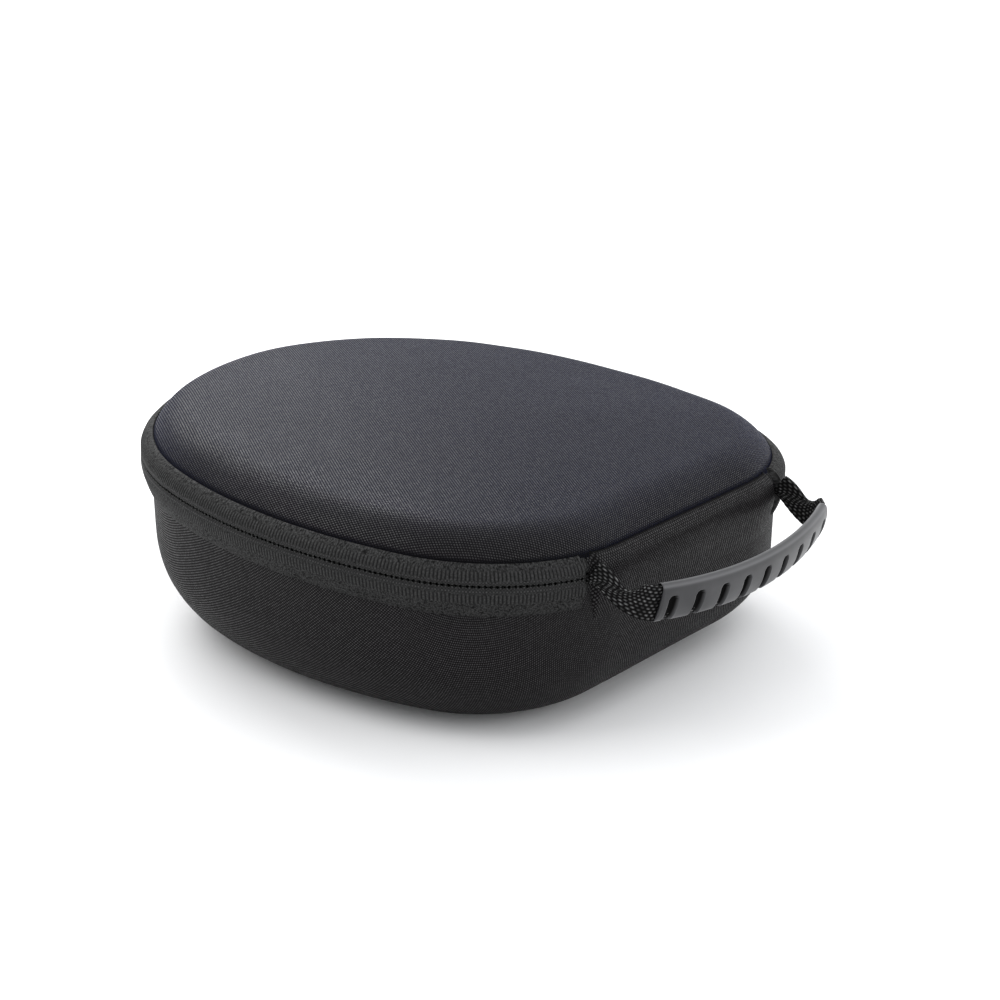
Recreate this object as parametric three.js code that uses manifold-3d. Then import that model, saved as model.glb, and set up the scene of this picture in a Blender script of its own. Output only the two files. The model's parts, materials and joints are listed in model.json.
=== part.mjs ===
// Headphone carrying case: two moulded fabric-covered foam shells, joined by a hinge panel at the
// flat side and closed by a double zip that runs around the wide round end, with a webbing handle.
// Millimetres, +Z up. The origin is on the floor, midway along the body. The flat hinge side faces
// -Y and the wide round end faces +Y.
import * as THREE from 'three';
import { mergeVertices } from 'three/addons/utils/BufferGeometryUtils.js';
import Module from 'manifold-3d';

const wasm = await Module();
wasm.setup();

// ---- driving dimensions -------------------------------------------------------------------
// Plan outline of the zip band, the widest part of the case: on each side, tangent arcs for the
// round end, the side and the corner, then the straight hinge side.
const BODY_LENGTH = 230;
const END_RADIUS = 104;
const SIDE_RADIUS = 198;
const CORNER_RADIUS = 65;
const FLAT_HALF = 40;

// Heights. The zip plane and the lid top lean: they rise towards the round end.
const ZIP_HEIGHT = 63.5;
const LID_HEIGHT = 19.9;
const LID_CROWN = 3.5;
const ZIP_LEAN = 0.047;
const TOP_LEAN = 0.062;

// Base shell, outside.
const BASE_INSET = 3.9;
const BASE_DRAFT = 0.031;
const BASE_FILLET = 35;

// Lid shell, outside.
const LID_INSET = 5.75;
const LID_SHOULDER = 18.5;

// Walls, from the outside in.
const GAP = 0.3;
const COVER = 0.7;
const FOAM = 4;
const LINING = 0.7;
const RIM_DROP = 4.2;

// Zip: two tapes with a gap between them and a reverse coil sewn behind each.
const TAPE = 0.6;
const UPPER_TAPE = 7.15;
const LOWER_TAPE = 11.5;
const ZIP_GAP = 1.1;
const COIL_DEPTH = 1.8;
const COIL_WIDTH = 2.1;
const COIL_INSET = 1.5;
const BINDING_EDGE = 0.6;

// Handle: webbing through a moulded grip. Lengths out are measured from the seam it is sewn in,
// between the end of the hinge panel and the end of the zip.
const STRAP_X = 57.2;
const PANEL_SPACE = 0.5;
const ZIP_SPACE = 1;
const STRAP_WIDTH = 13.4;
const STRAP_THICK = 1.8;
const HANDLE_DROOP = THREE.MathUtils.degToRad(16.5);
const CREASE_OUT = 7.5;
const CREASE_LEAN = 0.85;
const GRIP_HALF = 51.3;
const GRIP_OUT = 21.4;
const GRIP_BOW = 8.4;
const GRIP_WALL = 0.5;
const GRIP_THICK = 6;
const GRIP_SLOTS = 9;
const SLOT_PITCH = 11.8;
const SLOT_WIDTH = 3;

// Slider, its bridge, and the pull that hangs from it.
const SLIDER_LENGTH = 12;
const SLIDER_WIDTH = 8;
const SLIDER_PLATE = 1.2;
const SLIDER_WEB = 0.5;
const INNER_PLATE = 0.6;
const BRIDGE_BAR = 1.2;
const BRIDGE_OPENING = 2.4;
const BRIDGE_WIDTH = 1.6;
const LINK_RADIUS = 1.95;
const LINK_WIRE = 0.55;
const LINK_REACH = 6.5;
const PULL_WIDTH = 7;
const PULL_LENGTH = 28;
const PULL_THICK = 2;
const SLIDER_APART = 3.2;

// Mesh pocket inside the lid.
const POCKET_EDGE_Y = 32;
const POCKET_THICK = 0.6;
const POCKET_RISE = 3.2;
const ELASTIC_WIDTH = 8;
const ELASTIC_THICK = 1.6;

// ---- plan outline -------------------------------------------------------------------------
const END_CENTRE = [0, BODY_LENGTH / 2 - END_RADIUS];
const CORNER_CENTRE = [FLAT_HALF, CORNER_RADIUS - BODY_LENGTH / 2];

// The side's centre is where circles around the other two centres cross, on the far side.
function tangentCentre([ax, ay], a, [bx, by], b) {
  const apart = Math.hypot(bx - ax, by - ay);
  const along = (a * a - b * b + apart * apart) / (2 * apart);
  const aside = Math.sqrt(a * a - along * along);
  const [ux, uy] = [(bx - ax) / apart, (by - ay) / apart];
  return [ax + along * ux + aside * uy, ay + along * uy - aside * ux];
}
const toEnd = SIDE_RADIUS - END_RADIUS;
const toCorner = SIDE_RADIUS - CORNER_RADIUS;
const SIDE_CENTRE = tangentCentre(END_CENTRE, toEnd, CORNER_CENTRE, toCorner);
const endTurn = Math.acos((END_CENTRE[1] - SIDE_CENTRE[1]) / toEnd);
const cornerTurn = Math.acos((CORNER_CENTRE[1] - SIDE_CENTRE[1]) / toCorner);

// The point of the outline whose outward normal is turned by `turn` from +Y, moved in by `inset`.
function outlinePoint(turn, inset) {
  const size = Math.abs(turn);
  let centre = CORNER_CENTRE;
  let radius = CORNER_RADIUS;
  if (size <= endTurn) [centre, radius] = [END_CENTRE, END_RADIUS];
  else if (size <= cornerTurn) [centre, radius] = [SIDE_CENTRE, SIDE_RADIUS];
  const reach = radius - inset;
  return [Math.sign(turn) * (centre[0] + reach * Math.sin(size)), centre[1] + reach * Math.cos(size)];
}

function steps(from, to, count) {
  return Array.from({ length: count }, (_, i) => from + ((to - from) * i) / count);
}

const SIDE_STEP = 0.2;

// Turns of the outline from the round end's middle to the flat side, then the whole way round.
const HALF_TURNS = [
  ...steps(0, endTurn, 8),
  ...steps(endTurn, cornerTurn, Math.ceil((cornerTurn - endTurn) / SIDE_STEP)),
  ...steps(cornerTurn, Math.PI, 6),
  Math.PI,
];
const ALL_TURNS = [...HALF_TURNS, ...HALF_TURNS.slice(1).reverse().map((turn) => -turn)];

function ring(inset) {
  return ALL_TURNS.map((turn) => outlinePoint(turn, inset));
}

// ---- leaning heights ----------------------------------------------------------------------
const lerp = THREE.MathUtils.lerp;
const clamp01 = (value) => THREE.MathUtils.clamp(value, 0, 1);

const LID_TOP = ZIP_HEIGHT + LID_HEIGHT;

function lean(x, y, z) {
  const low = ZIP_LEAN * clamp01(z / (ZIP_HEIGHT - LOWER_TAPE));
  const share = clamp01((z - ZIP_HEIGHT) / (LID_TOP - ZIP_HEIGHT));
  return [x, y, z + y * lerp(low, TOP_LEAN, share)];
}

// ---- closed bodies from rings and sections --------------------------------------------------
function bodyFrom(points, faces) {
  let volume = 0;
  const at = (i) => new THREE.Vector3(...points[i]);
  for (const [a, b, c] of faces) volume += at(a).dot(at(b).cross(at(c)));
  const index = volume > 0 ? faces.flat() : faces.flatMap(([a, b, c]) => [a, c, b]);
  const geometry = new THREE.BufferGeometry();
  geometry.setAttribute('position', new THREE.Float32BufferAttribute(points.flat(), 3));
  geometry.setIndex(index);
  return geometry;
}

function joinRings(faces, from, to, count, closed = true) {
  for (let i = 0; i < (closed ? count : count - 1); i += 1) {
    const next = (i + 1) % count;
    faces.push([from + i, from + next, to + next], [from + i, to + next, to + i]);
  }
}

// A body through a stack of closed rings, with a point at each end.
function loft(first, rings, last) {
  const count = rings[0].length;
  const points = [first, ...rings.flat(), last];
  const faces = [];
  rings.slice(1).forEach((_, k) => joinRings(faces, 1 + k * count, 1 + (k + 1) * count, count));
  const end = points.length - 1;
  for (let i = 0; i < count; i += 1) {
    const next = (i + 1) % count;
    faces.push([0, 1 + next, 1 + i], [end, end - count + i, end - count + next]);
  }
  return bodyFrom(points, faces);
}

// A closed section carried through a list of stations; it joins up, or has flat ends.
function sweep(stations, closed = false) {
  const count = stations[0].length;
  const faces = [];
  const pairs = closed ? stations.length : stations.length - 1;
  for (let k = 0; k < pairs; k += 1) {
    joinRings(faces, k * count, ((k + 1) % stations.length) * count, count);
  }
  if (!closed) {
    const cap = THREE.ShapeUtils.triangulateShape(sectionOutline(stations[0]), []);
    const last = (stations.length - 1) * count;
    for (const [a, b, c] of cap) faces.push([a, c, b], [last + a, last + b, last + c]);
  }
  return bodyFrom(stations.flat(), faces);
}

// The section in its own plane, the same way round as its points.
function sectionOutline(points) {
  const at = points.map((p) => new THREE.Vector3(...p));
  const across = at[1].clone().sub(at[0]).normalize();
  const area = new THREE.Vector3();
  at.forEach((p, i) => area.add(p.clone().cross(at[(i + 1) % at.length])));
  const up = area.normalize().clone().cross(across);
  return at.map((p) => new THREE.Vector2(p.dot(across), p.dot(up)));
}

// ---- base and lid shells --------------------------------------------------------------------
const WALL_TOP = ZIP_HEIGHT - LOWER_TAPE;
const filletInset = BASE_INSET + BASE_DRAFT * (WALL_TOP - BASE_FILLET) + BASE_FILLET;

// [inset, height] pairs of the base wall from the floor up, `depth` inside its outer face.
function baseWall(depth, fillets) {
  const radius = BASE_FILLET - depth;
  const rimZ = ZIP_HEIGHT - RIM_DROP;
  const curve = Array.from({ length: fillets + 1 }, (_, i) => {
    const angle = (Math.PI / 2) * (1 - i / fillets);
    return [filletInset - radius * Math.cos(angle), BASE_FILLET - radius * Math.sin(angle)];
  });
  return [...curve, [BASE_INSET + depth + BASE_DRAFT * (WALL_TOP - rimZ), rimZ]];
}

const shoulderZ = LID_TOP - LID_CROWN - LID_SHOULDER;
const shoulderStart = Math.asin((ZIP_HEIGHT + UPPER_TAPE - shoulderZ) / LID_SHOULDER);
const shoulderInset = LID_INSET + LID_SHOULDER * Math.cos(shoulderStart);
const CROWN_CENTRE_Y = -4;

// [inset, height] pairs of the lid wall from its rim to the edge of its crown.
function lidWall(depth, fillets) {
  const radius = LID_SHOULDER - depth;
  const start = Math.asin((ZIP_HEIGHT + RIM_DROP - shoulderZ) / radius);
  return Array.from({ length: fillets + 1 }, (_, i) => {
    const angle = lerp(start, Math.PI / 2, i / fillets);
    return [shoulderInset - radius * Math.cos(angle), shoulderZ + radius * Math.sin(angle)];
  });
}

const lift = (inset, z) => ring(inset).map(([x, y]) => lean(x, y, z));

function baseLayer(depth, thick, fillets) {
  const outer = baseWall(depth, fillets);
  const inner = baseWall(depth + thick, fillets).reverse();
  const rings = [...outer, ...inner].map(([inset, z]) => lift(inset, z));
  return loft([0, 0, depth], rings, [0, 0, depth + thick]);
}

// The crown's rings shrink towards its middle as they rise.
function crownRings(depth) {
  const edge = ring(shoulderInset);
  return [0.7, 0.36].map((share) =>
    edge.map(([x, y]) => {
      const z = LID_TOP - depth - LID_CROWN * share * share;
      return lean(x * share, lerp(CROWN_CENTRE_Y, y, share), z);
    }),
  );
}

function lidLayer(depth, thick, fillets) {
  const side = (d) => [...lidWall(d, fillets).map(([inset, z]) => lift(inset, z)), ...crownRings(d)];
  const top = (d) => lean(0, CROWN_CENTRE_Y, LID_TOP - d);
  return loft(top(depth), [...side(depth).reverse(), ...side(depth + thick)], top(depth + thick));
}

// ---- strips that follow the outline -----------------------------------------------------------
const turnAtX = (x) => Math.PI - Math.asin((x - CORNER_CENTRE[0]) / CORNER_RADIUS);

// The turns between two limits on the same side, with the limits themselves.
function turnsTo(limit) {
  const half = HALF_TURNS.filter((turn) => turn < limit - 0.02);
  return [...half, limit];
}

// A station: a section of [inset, height above the zip] pairs at one turn of the outline.
function station(section, turn) {
  return section.map(([inset, rise]) => {
    const [x, y] = outlinePoint(turn, inset);
    return lean(x, y, ZIP_HEIGHT + rise);
  });
}

const zipTurns = turnsTo(turnAtX(STRAP_X + STRAP_THICK / 2 + ZIP_SPACE));
const alongZip = [...zipTurns.slice(1).reverse().map((turn) => -turn), ...zipTurns];
const zipStrip = (section) => sweep(alongZip.map((turn) => station(section, turn)));

const panelEnd = turnAtX(STRAP_X - STRAP_THICK / 2 - PANEL_SPACE);
const panelTurns = [panelEnd, ...HALF_TURNS.filter((turn) => turn > panelEnd + 0.02)];
const acrossPanel = [...panelTurns, ...panelTurns.slice().reverse().map((turn) => -turn)];
const panelStrip = (section) => sweep(acrossPanel.map((turn) => station(section, turn)));

const rimStrip = (section) => sweep(ALL_TURNS.map((turn) => station(section, turn)), true);

// A tape's section: its outer face and, `thick` behind it, its inner face.
const behind = (face, thick) => face.slice().reverse().map(([inset, rise]) => [inset + thick, rise]);
const skin = (face, thick) => [...face, ...behind(face, thick)];

const edge = ZIP_GAP / 2;
const UPPER_FACE = [[0.1, edge], [0.55, 2.5], [2.1, 4.9], [4.75, UPPER_TAPE]];
const LOWER_FACE = [[2.5, -LOWER_TAPE], [1.1, -9], [0.35, -5.5], [0, -1.7], [0.05, -edge]];
const PANEL_FACE = [[2.5, -LOWER_TAPE], [1, -8], [0.3, -3], [0.4, 1.5], [2, 4.9], [4.75, UPPER_TAPE]];

const box = (inset, depth, low, high) => [
  [inset, low], [inset, high], [inset + depth, high], [inset + depth, low],
];
const coilSection = (side) =>
  box(COIL_INSET, COIL_DEPTH, ...[side * edge, side * (edge + COIL_WIDTH)].sort((a, b) => a - b));

// The bindings cap the rims of foam and lining, behind the sliders' inner plates.
const layersDepth = COVER + GAP + FOAM + GAP + LINING;
const innerPlateInset = COIL_INSET + COIL_DEPTH + 0.95;
const bindingInset = innerPlateInset + INNER_PLATE + 0.45;
const bindingDepth = BASE_INSET + layersDepth - bindingInset;
const baseBinding = box(bindingInset, bindingDepth, GAP - RIM_DROP, -BINDING_EDGE);
const lidBinding = box(bindingInset, bindingDepth, BINDING_EDGE, RIM_DROP - GAP);

// The inner face of the hinge: a strip of lining over the fold, inside the panel.
const hingeLining = box(COIL_INSET + 1.2, LINING, -RIM_DROP, RIM_DROP);

// ---- booleans -----------------------------------------------------------------------------
function solidOf(geometry) {
  const bare = geometry.clone();
  bare.deleteAttribute('normal');
  bare.deleteAttribute('uv');
  const merged = mergeVertices(bare, 1e-5);
  const triVerts = new Uint32Array(merged.index.array);
  const vertProperties = new Float32Array(merged.attributes.position.array);
  return new wasm.Manifold(new wasm.Mesh({ numProp: 3, vertProperties, triVerts }));
}

function geometryOf(solid) {
  const { vertProperties, triVerts } = solid.getMesh();
  const geometry = new THREE.BufferGeometry();
  geometry.setAttribute('position', new THREE.Float32BufferAttribute(vertProperties, 3));
  geometry.setIndex([...triVerts]);
  return geometry;
}

const block = (w, d, h, x, y, z) => new THREE.BoxGeometry(w, d, h).translate(x, y, z);

// ---- handle, in the plane it lies in ----------------------------------------------------------
// Points along the strap as [x, y], from the left seam to the crease and along the grip's bow.
const bowRadius = (GRIP_HALF ** 2 + GRIP_BOW ** 2) / (2 * GRIP_BOW);
const bowCentreY = -GRIP_OUT - GRIP_BOW + bowRadius;
const bowAngle = Math.asin(GRIP_HALF / bowRadius);

// A station across the handle: [out, up] pairs about the bow, turned with it.
function bowStation(section, angle) {
  return section.map(([out, up]) => {
    const reach = bowRadius + out;
    return [reach * Math.sin(angle), bowCentreY - reach * Math.cos(angle), up];
  });
}

const bowSteps = (from, to, count) => [...steps(from, to, count), to];
const halfStrap = STRAP_WIDTH / 2;
const strapSection = [
  [-STRAP_THICK / 2, -halfStrap], [STRAP_THICK / 2, -halfStrap],
  [STRAP_THICK / 2, halfStrap], [-STRAP_THICK / 2, halfStrap],
];

// The strap leaves the grip, folds over at the crease and runs to the seam. Its top edge leans out.
function legStation(side, x, y, tilt, lean) {
  const out = [Math.cos(tilt), Math.sin(tilt)];
  return strapSection.map(([offset, up]) => [
    side * (x + offset * out[0]), y - offset * out[1] - up * Math.sin(lean), up * Math.cos(lean),
  ]);
}

const creaseX = STRAP_X - 0.6;
const mouthX = GRIP_HALF;
const mouthY = -GRIP_OUT;
function makeStrap() {
  const legs = (side) => [
    legStation(side, creaseX, -CREASE_OUT - GAP, 0.2, CREASE_LEAN),
    legStation(side, lerp(creaseX, mouthX, 0.3), lerp(-CREASE_OUT, mouthY, 0.36), 0.34, CREASE_LEAN * 0.7),
    legStation(side, lerp(creaseX, mouthX, 0.62), lerp(-CREASE_OUT, mouthY, 0.7), 0.5, CREASE_LEAN * 0.3),
  ];
  const bow = bowSteps(-bowAngle, bowAngle, 14).map((angle) => bowStation(strapSection, angle));
  return sweep([...legs(-1), ...bow, ...legs(1).reverse()]);
}

function makeStrapEnd(side) {
  const stations = [
    legStation(side, STRAP_X, 1, 0, 0),
    legStation(side, STRAP_X, -CREASE_OUT / 2, 0.08, CREASE_LEAN / 2),
    legStation(side, creaseX, -CREASE_OUT, 0.2, CREASE_LEAN),
  ];
  return sweep(stations);
}

function makeGrip() {
  const roomUp = halfStrap + GAP;
  const half = roomUp + GRIP_WALL;
  const back = -GRIP_THICK * 0.42;
  const front = GRIP_THICK + back;
  const outer = [
    [back, -half + 1], [back + 1, -half], [front - 2.2, -half], [front - 0.5, -half * 0.62],
    [front, 0], [front - 0.5, half * 0.62], [front - 2.2, half], [back + 1, half], [back, half - 1],
  ];
  const roomOut = STRAP_THICK / 2 + GAP;
  const room = [[-roomOut, -roomUp], [roomOut, -roomUp], [roomOut, roomUp], [-roomOut, roomUp]];
  const along = (section, reach, count) =>
    sweep(bowSteps(-reach, reach, count).map((angle) => bowStation(section, angle)));
  let grip = solidOf(along(outer, bowAngle - 0.004, 14)).subtract(solidOf(along(room, bowAngle + 0.02, 14)));
  const slotHeight = half * 1.24;
  for (let i = 0; i < GRIP_SLOTS; i += 1) {
    const angle = ((i - (GRIP_SLOTS - 1) / 2) * SLOT_PITCH) / bowRadius;
    const slot = block(SLOT_WIDTH, GRIP_THICK, slotHeight, 0, 0, -half * 0.2);
    slot.translate(0, -bowRadius - roomOut - GRIP_THICK / 2 + GAP, 0);
    slot.rotateZ(angle).translate(0, bowCentreY, 0);
    grip = grip.subtract(solidOf(slot));
  }
  return geometryOf(grip);
}

// ---- slider and pull, at the middle of the round end, in the zip plane ------------------------
const plateIn = END_RADIUS + 0.35;
const plateOut = plateIn + SLIDER_PLATE;
const barAxis = plateOut + BRIDGE_OPENING + BRIDGE_BAR / 2;
const innerPlateY = END_RADIUS - innerPlateInset;

// A slider plate seen from outside: wide mouths at one end, narrow at the other.
function plate(width, thick, y) {
  const half = SLIDER_LENGTH / 2;
  const shape = new THREE.Shape([
    new THREE.Vector2(-half, -width * 0.34), new THREE.Vector2(-half + 2, -width * 0.42),
    new THREE.Vector2(half - 2.5, -width / 2), new THREE.Vector2(half, -width * 0.4),
    new THREE.Vector2(half, width * 0.4), new THREE.Vector2(half - 2.5, width / 2),
    new THREE.Vector2(-half + 2, width * 0.42), new THREE.Vector2(-half, width * 0.34),
  ]);
  return new THREE.ExtrudeGeometry(shape, { depth: thick, bevelEnabled: false })
    .rotateX(Math.PI / 2)
    .translate(0, y + thick, 0);
}

function makeSlider() {
  const webDepth = plateIn - innerPlateY + 0.2;
  const web = block(SLIDER_LENGTH * 0.45, webDepth, SLIDER_WEB, 0, innerPlateY + webDepth / 2 - 0.1, 0);
  const bridgeLength = SLIDER_LENGTH * 0.75;
  const rise = BRIDGE_OPENING + BRIDGE_BAR;
  const bridge = solidOf(block(bridgeLength, rise + 0.2, BRIDGE_WIDTH, 0, plateOut + rise / 2 - 0.1, 0));
  const openingY = plateOut + BRIDGE_OPENING / 2;
  const opening = block(bridgeLength - 3, BRIDGE_OPENING, BRIDGE_WIDTH * 2, 0, openingY, 0);
  const body = solidOf(plate(SLIDER_WIDTH, SLIDER_PLATE, plateIn))
    .add(solidOf(plate(SLIDER_WIDTH * 0.8, INNER_PLATE, innerPlateY - INNER_PLATE)))
    .add(solidOf(web))
    .add(bridge.subtract(solidOf(opening)));
  return geometryOf(body);
}

// The wire link: a long ring through the bridge, with the pull's eye at its foot.
function makeLink() {
  const turn = (z, from, count) => steps(from, from + Math.PI, count).concat(from + Math.PI).map((a) => ({
    centre: [0, barAxis + LINK_RADIUS * Math.cos(a), z + LINK_RADIUS * Math.sin(a)], angle: a,
  }));
  const path = [...turn(0, 0, 8), ...turn(-LINK_REACH, Math.PI, 8)];
  const wire = 6;
  const stations = path.map(({ centre, angle }) =>
    Array.from({ length: wire }, (_, i) => {
      const around = (2 * Math.PI * i) / wire;
      const out = LINK_WIRE * Math.cos(around);
      return [
        centre[0] + LINK_WIRE * Math.sin(around),
        centre[1] + out * Math.cos(angle),
        centre[2] + out * Math.sin(angle),
      ];
    }),
  );
  return sweep(stations, true);
}

// The moulded pull: a long tab with a rounded foot and an eye for the link.
function makePull() {
  const eyeZ = -LINK_REACH - LINK_RADIUS;
  const half = PULL_WIDTH / 2;
  const shape = new THREE.Shape();
  shape.absarc(0, eyeZ, half * 0.72, 0, Math.PI, false);
  shape.absarc(0, eyeZ - PULL_LENGTH + half, half, Math.PI, 2 * Math.PI, false);
  shape.closePath();
  const eye = new THREE.Path();
  eye.absarc(0, eyeZ, LINK_WIRE * 2, 0, 2 * Math.PI, true);
  shape.holes.push(eye);
  return new THREE.ExtrudeGeometry(shape, { depth: PULL_THICK, bevelEnabled: false, curveSegments: 8 })
    .rotateX(Math.PI / 2)
    .translate(0, barAxis + PULL_THICK / 2, 0);
}

// ---- mesh pocket ----------------------------------------------------------------------------
// A flat panel inside the lid, from the hinge side to a straight elastic edge.
const pocketInset = (rise) => {
  const radius = LID_SHOULDER - layersDepth;
  const sine = (ZIP_HEIGHT + rise - shoulderZ) / radius;
  return shoulderInset - radius * Math.sqrt(1 - sine * sine) + 3 * GAP;
};

function slab(outline, low, high) {
  const flat = outline.map(([x, y]) => new THREE.Vector2(x, y));
  if (THREE.ShapeUtils.isClockWise(flat)) flat.reverse();
  const at = (z) => flat.map(({ x, y }) => lean(x, y, z));
  const count = flat.length;
  const faces = [];
  joinRings(faces, 0, count, count);
  for (const [a, b, c] of THREE.ShapeUtils.triangulateShape(flat, [])) {
    faces.push([a, c, b], [count + a, count + b, count + c]);
  }
  return bodyFrom([...at(low), ...at(high)], faces);
}

const pocketRise = RIM_DROP + POCKET_RISE;
const pocketRoom = pocketInset(pocketRise + Math.max(POCKET_THICK, ELASTIC_THICK));
const pocketRing = ring(pocketRoom).filter(([, y]) => y < POCKET_EDGE_Y - 2);
// The point of the outline on the +X side at a given y.
function outlineAtY(y, inset) {
  let [low, high] = [0, Math.PI];
  for (let i = 0; i < 50; i += 1) {
    const turn = (low + high) / 2;
    if (outlinePoint(turn, inset)[1] > y) low = turn;
    else high = turn;
  }
  return outlinePoint(low, inset);
}
const pocketCorner = (y) => outlineAtY(y, pocketRoom);
const [pocketX, pocketY] = pocketCorner(POCKET_EDGE_Y);
const pocketOutline = [[pocketX, pocketY], ...pocketRing, [-pocketX, pocketY]];

function makeElastic() {
  const [farX, farY] = pocketCorner(POCKET_EDGE_Y + GAP + ELASTIC_WIDTH);
  const [nearX, nearY] = pocketCorner(POCKET_EDGE_Y + GAP);
  const outline = [[nearX, nearY], [-nearX, nearY], [-farX, farY], [farX, farY]];
  const middle = ZIP_HEIGHT + pocketRise + POCKET_THICK / 2;
  return slab(outline, middle - ELASTIC_THICK / 2, middle + ELASTIC_THICK / 2);
}

// ---- materials --------------------------------------------------------------------------------
const finish = (color, roughness, metalness = 0) =>
  new THREE.MeshStandardMaterial({ color, roughness, metalness });
const WOVEN = finish(0x3a393f, 0.75);
const FOAM_BLACK = finish(0x222224, 0.9);
const TRICOT = finish(0x2a2a2e, 0.95);
const TAPE_KNIT = finish(0x1d1d20, 0.85);
const COIL_NYLON = finish(0x151518, 0.4);
const WEBBING = finish(0x141416, 0.8);
const RUBBER = finish(0x3a3b40, 0.5);
const SLIDER_METAL = finish(0x1b1b1d, 0.35, 0.9);
const POCKET_MESH = finish(0x202024, 0.9);

// ---- assembly ---------------------------------------------------------------------------------
const model = new THREE.Group();

function add(name, geometry, material, parent = model) {
  const mesh = new THREE.Mesh(geometry, material);
  mesh.name = name;
  parent.add(mesh);
  return mesh;
}

const foamDepth = COVER + GAP;
const liningDepth = foamDepth + FOAM + GAP;
add('base_cover', baseLayer(0, COVER, 5), WOVEN);
add('base_foam_shell', baseLayer(foamDepth, FOAM, 5), FOAM_BLACK);
add('base_lining', baseLayer(liningDepth, LINING, 5), TRICOT);
add('base_rim_binding', rimStrip(baseBinding), TRICOT);
add('base_zip_tape', zipStrip(skin(LOWER_FACE, TAPE)), TAPE_KNIT);
add('base_zip_coil', zipStrip(coilSection(-1)), COIL_NYLON);
add('hinge_panel', panelStrip(skin(PANEL_FACE, TAPE)), WOVEN);
add('hinge_lining', panelStrip(hingeLining), TRICOT);

add('lid_cover', lidLayer(0, COVER, 5), WOVEN);
add('lid_foam_shell', lidLayer(foamDepth, FOAM, 5), FOAM_BLACK);
add('lid_lining', lidLayer(liningDepth, LINING, 5), TRICOT);
add('lid_rim_binding', rimStrip(lidBinding), TRICOT);
add('lid_zip_tape', zipStrip(skin(UPPER_FACE, TAPE)), TAPE_KNIT);
add('lid_zip_coil', zipStrip(coilSection(1)), COIL_NYLON);
const pocketLow = ZIP_HEIGHT + pocketRise;
add('mesh_pocket', slab(pocketOutline, pocketLow, pocketLow + POCKET_THICK), POCKET_MESH);
add('pocket_elastic', makeElastic(), TRICOT);

const handle = new THREE.Group();
const seam = outlinePoint(turnAtX(STRAP_X), 0);
handle.position.set(0, seam[1], ZIP_HEIGHT + ZIP_LEAN * seam[1]);
handle.rotation.x = HANDLE_DROOP;
model.add(handle);
add('handle_strap', makeStrap(), WEBBING, handle);
add('strap_end_left', makeStrapEnd(-1), WEBBING, handle);
add('strap_end_right', makeStrapEnd(1), WEBBING, handle);
add('handle_grip', makeGrip(), RUBBER, handle);

const zipPlane = new THREE.Group();
zipPlane.position.set(0, END_CENTRE[1], ZIP_HEIGHT + ZIP_LEAN * END_CENTRE[1]);
zipPlane.rotation.x = Math.atan(ZIP_LEAN);
model.add(zipPlane);
for (const [side, turnSign] of [['left', 1], ['right', -1]]) {
  const place = new THREE.Group();
  place.rotation.z = (turnSign * (SLIDER_LENGTH + SLIDER_APART)) / 2 / END_RADIUS;
  zipPlane.add(place);
  add(`slider_${side}`, makeSlider(), SLIDER_METAL, place);
  add(`pull_link_${side}`, makeLink(), SLIDER_METAL, place);
  add(`pull_tab_${side}`, makePull(), RUBBER, place);
}

export default model;
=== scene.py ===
import json
import math

import bmesh
import bpy
from mathutils import Matrix, Vector, noise


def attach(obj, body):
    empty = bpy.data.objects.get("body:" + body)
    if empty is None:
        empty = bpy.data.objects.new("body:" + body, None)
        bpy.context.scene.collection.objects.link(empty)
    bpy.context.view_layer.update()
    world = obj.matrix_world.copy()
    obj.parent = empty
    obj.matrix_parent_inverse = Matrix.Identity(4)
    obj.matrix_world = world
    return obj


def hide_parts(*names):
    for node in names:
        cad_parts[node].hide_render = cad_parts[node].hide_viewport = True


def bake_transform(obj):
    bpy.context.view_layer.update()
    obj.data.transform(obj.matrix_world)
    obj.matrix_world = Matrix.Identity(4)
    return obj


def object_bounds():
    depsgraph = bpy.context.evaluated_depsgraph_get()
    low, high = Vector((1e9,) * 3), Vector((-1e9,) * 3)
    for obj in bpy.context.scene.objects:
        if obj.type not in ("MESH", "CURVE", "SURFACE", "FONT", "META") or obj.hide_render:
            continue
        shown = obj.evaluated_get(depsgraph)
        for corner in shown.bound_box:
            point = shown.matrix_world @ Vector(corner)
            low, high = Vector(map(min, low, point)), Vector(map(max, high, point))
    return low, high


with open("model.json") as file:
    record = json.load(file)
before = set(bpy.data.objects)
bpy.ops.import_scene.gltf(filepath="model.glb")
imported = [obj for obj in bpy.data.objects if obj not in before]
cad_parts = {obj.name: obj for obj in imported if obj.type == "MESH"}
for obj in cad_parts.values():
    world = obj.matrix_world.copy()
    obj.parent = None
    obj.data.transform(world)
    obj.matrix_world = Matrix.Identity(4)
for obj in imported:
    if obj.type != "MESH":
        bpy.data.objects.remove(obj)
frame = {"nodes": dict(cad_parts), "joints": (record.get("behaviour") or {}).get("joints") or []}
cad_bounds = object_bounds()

MM = 0.001
scene = bpy.context.scene

# ---- camera ---------------------------------------------------------------------------------
# A long lens, a little above the lid, that looks along the zip side towards the handle.
CAMERA_PLACE = Vector((-667.8, -552.5, 345.1)) * MM
CAMERA_TURN = -0.905
CAMERA_DROP = 0.333
CAMERA_LENS = 87.4

camera = bpy.data.objects.new("camera", bpy.data.cameras.new("camera"))
camera.location = CAMERA_PLACE
camera.rotation_euler = (math.pi / 2 - CAMERA_DROP, 0, CAMERA_TURN)
camera.data.lens = CAMERA_LENS
camera.data.sensor_width = 36
scene.collection.objects.link(camera)
scene.camera = camera

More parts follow.
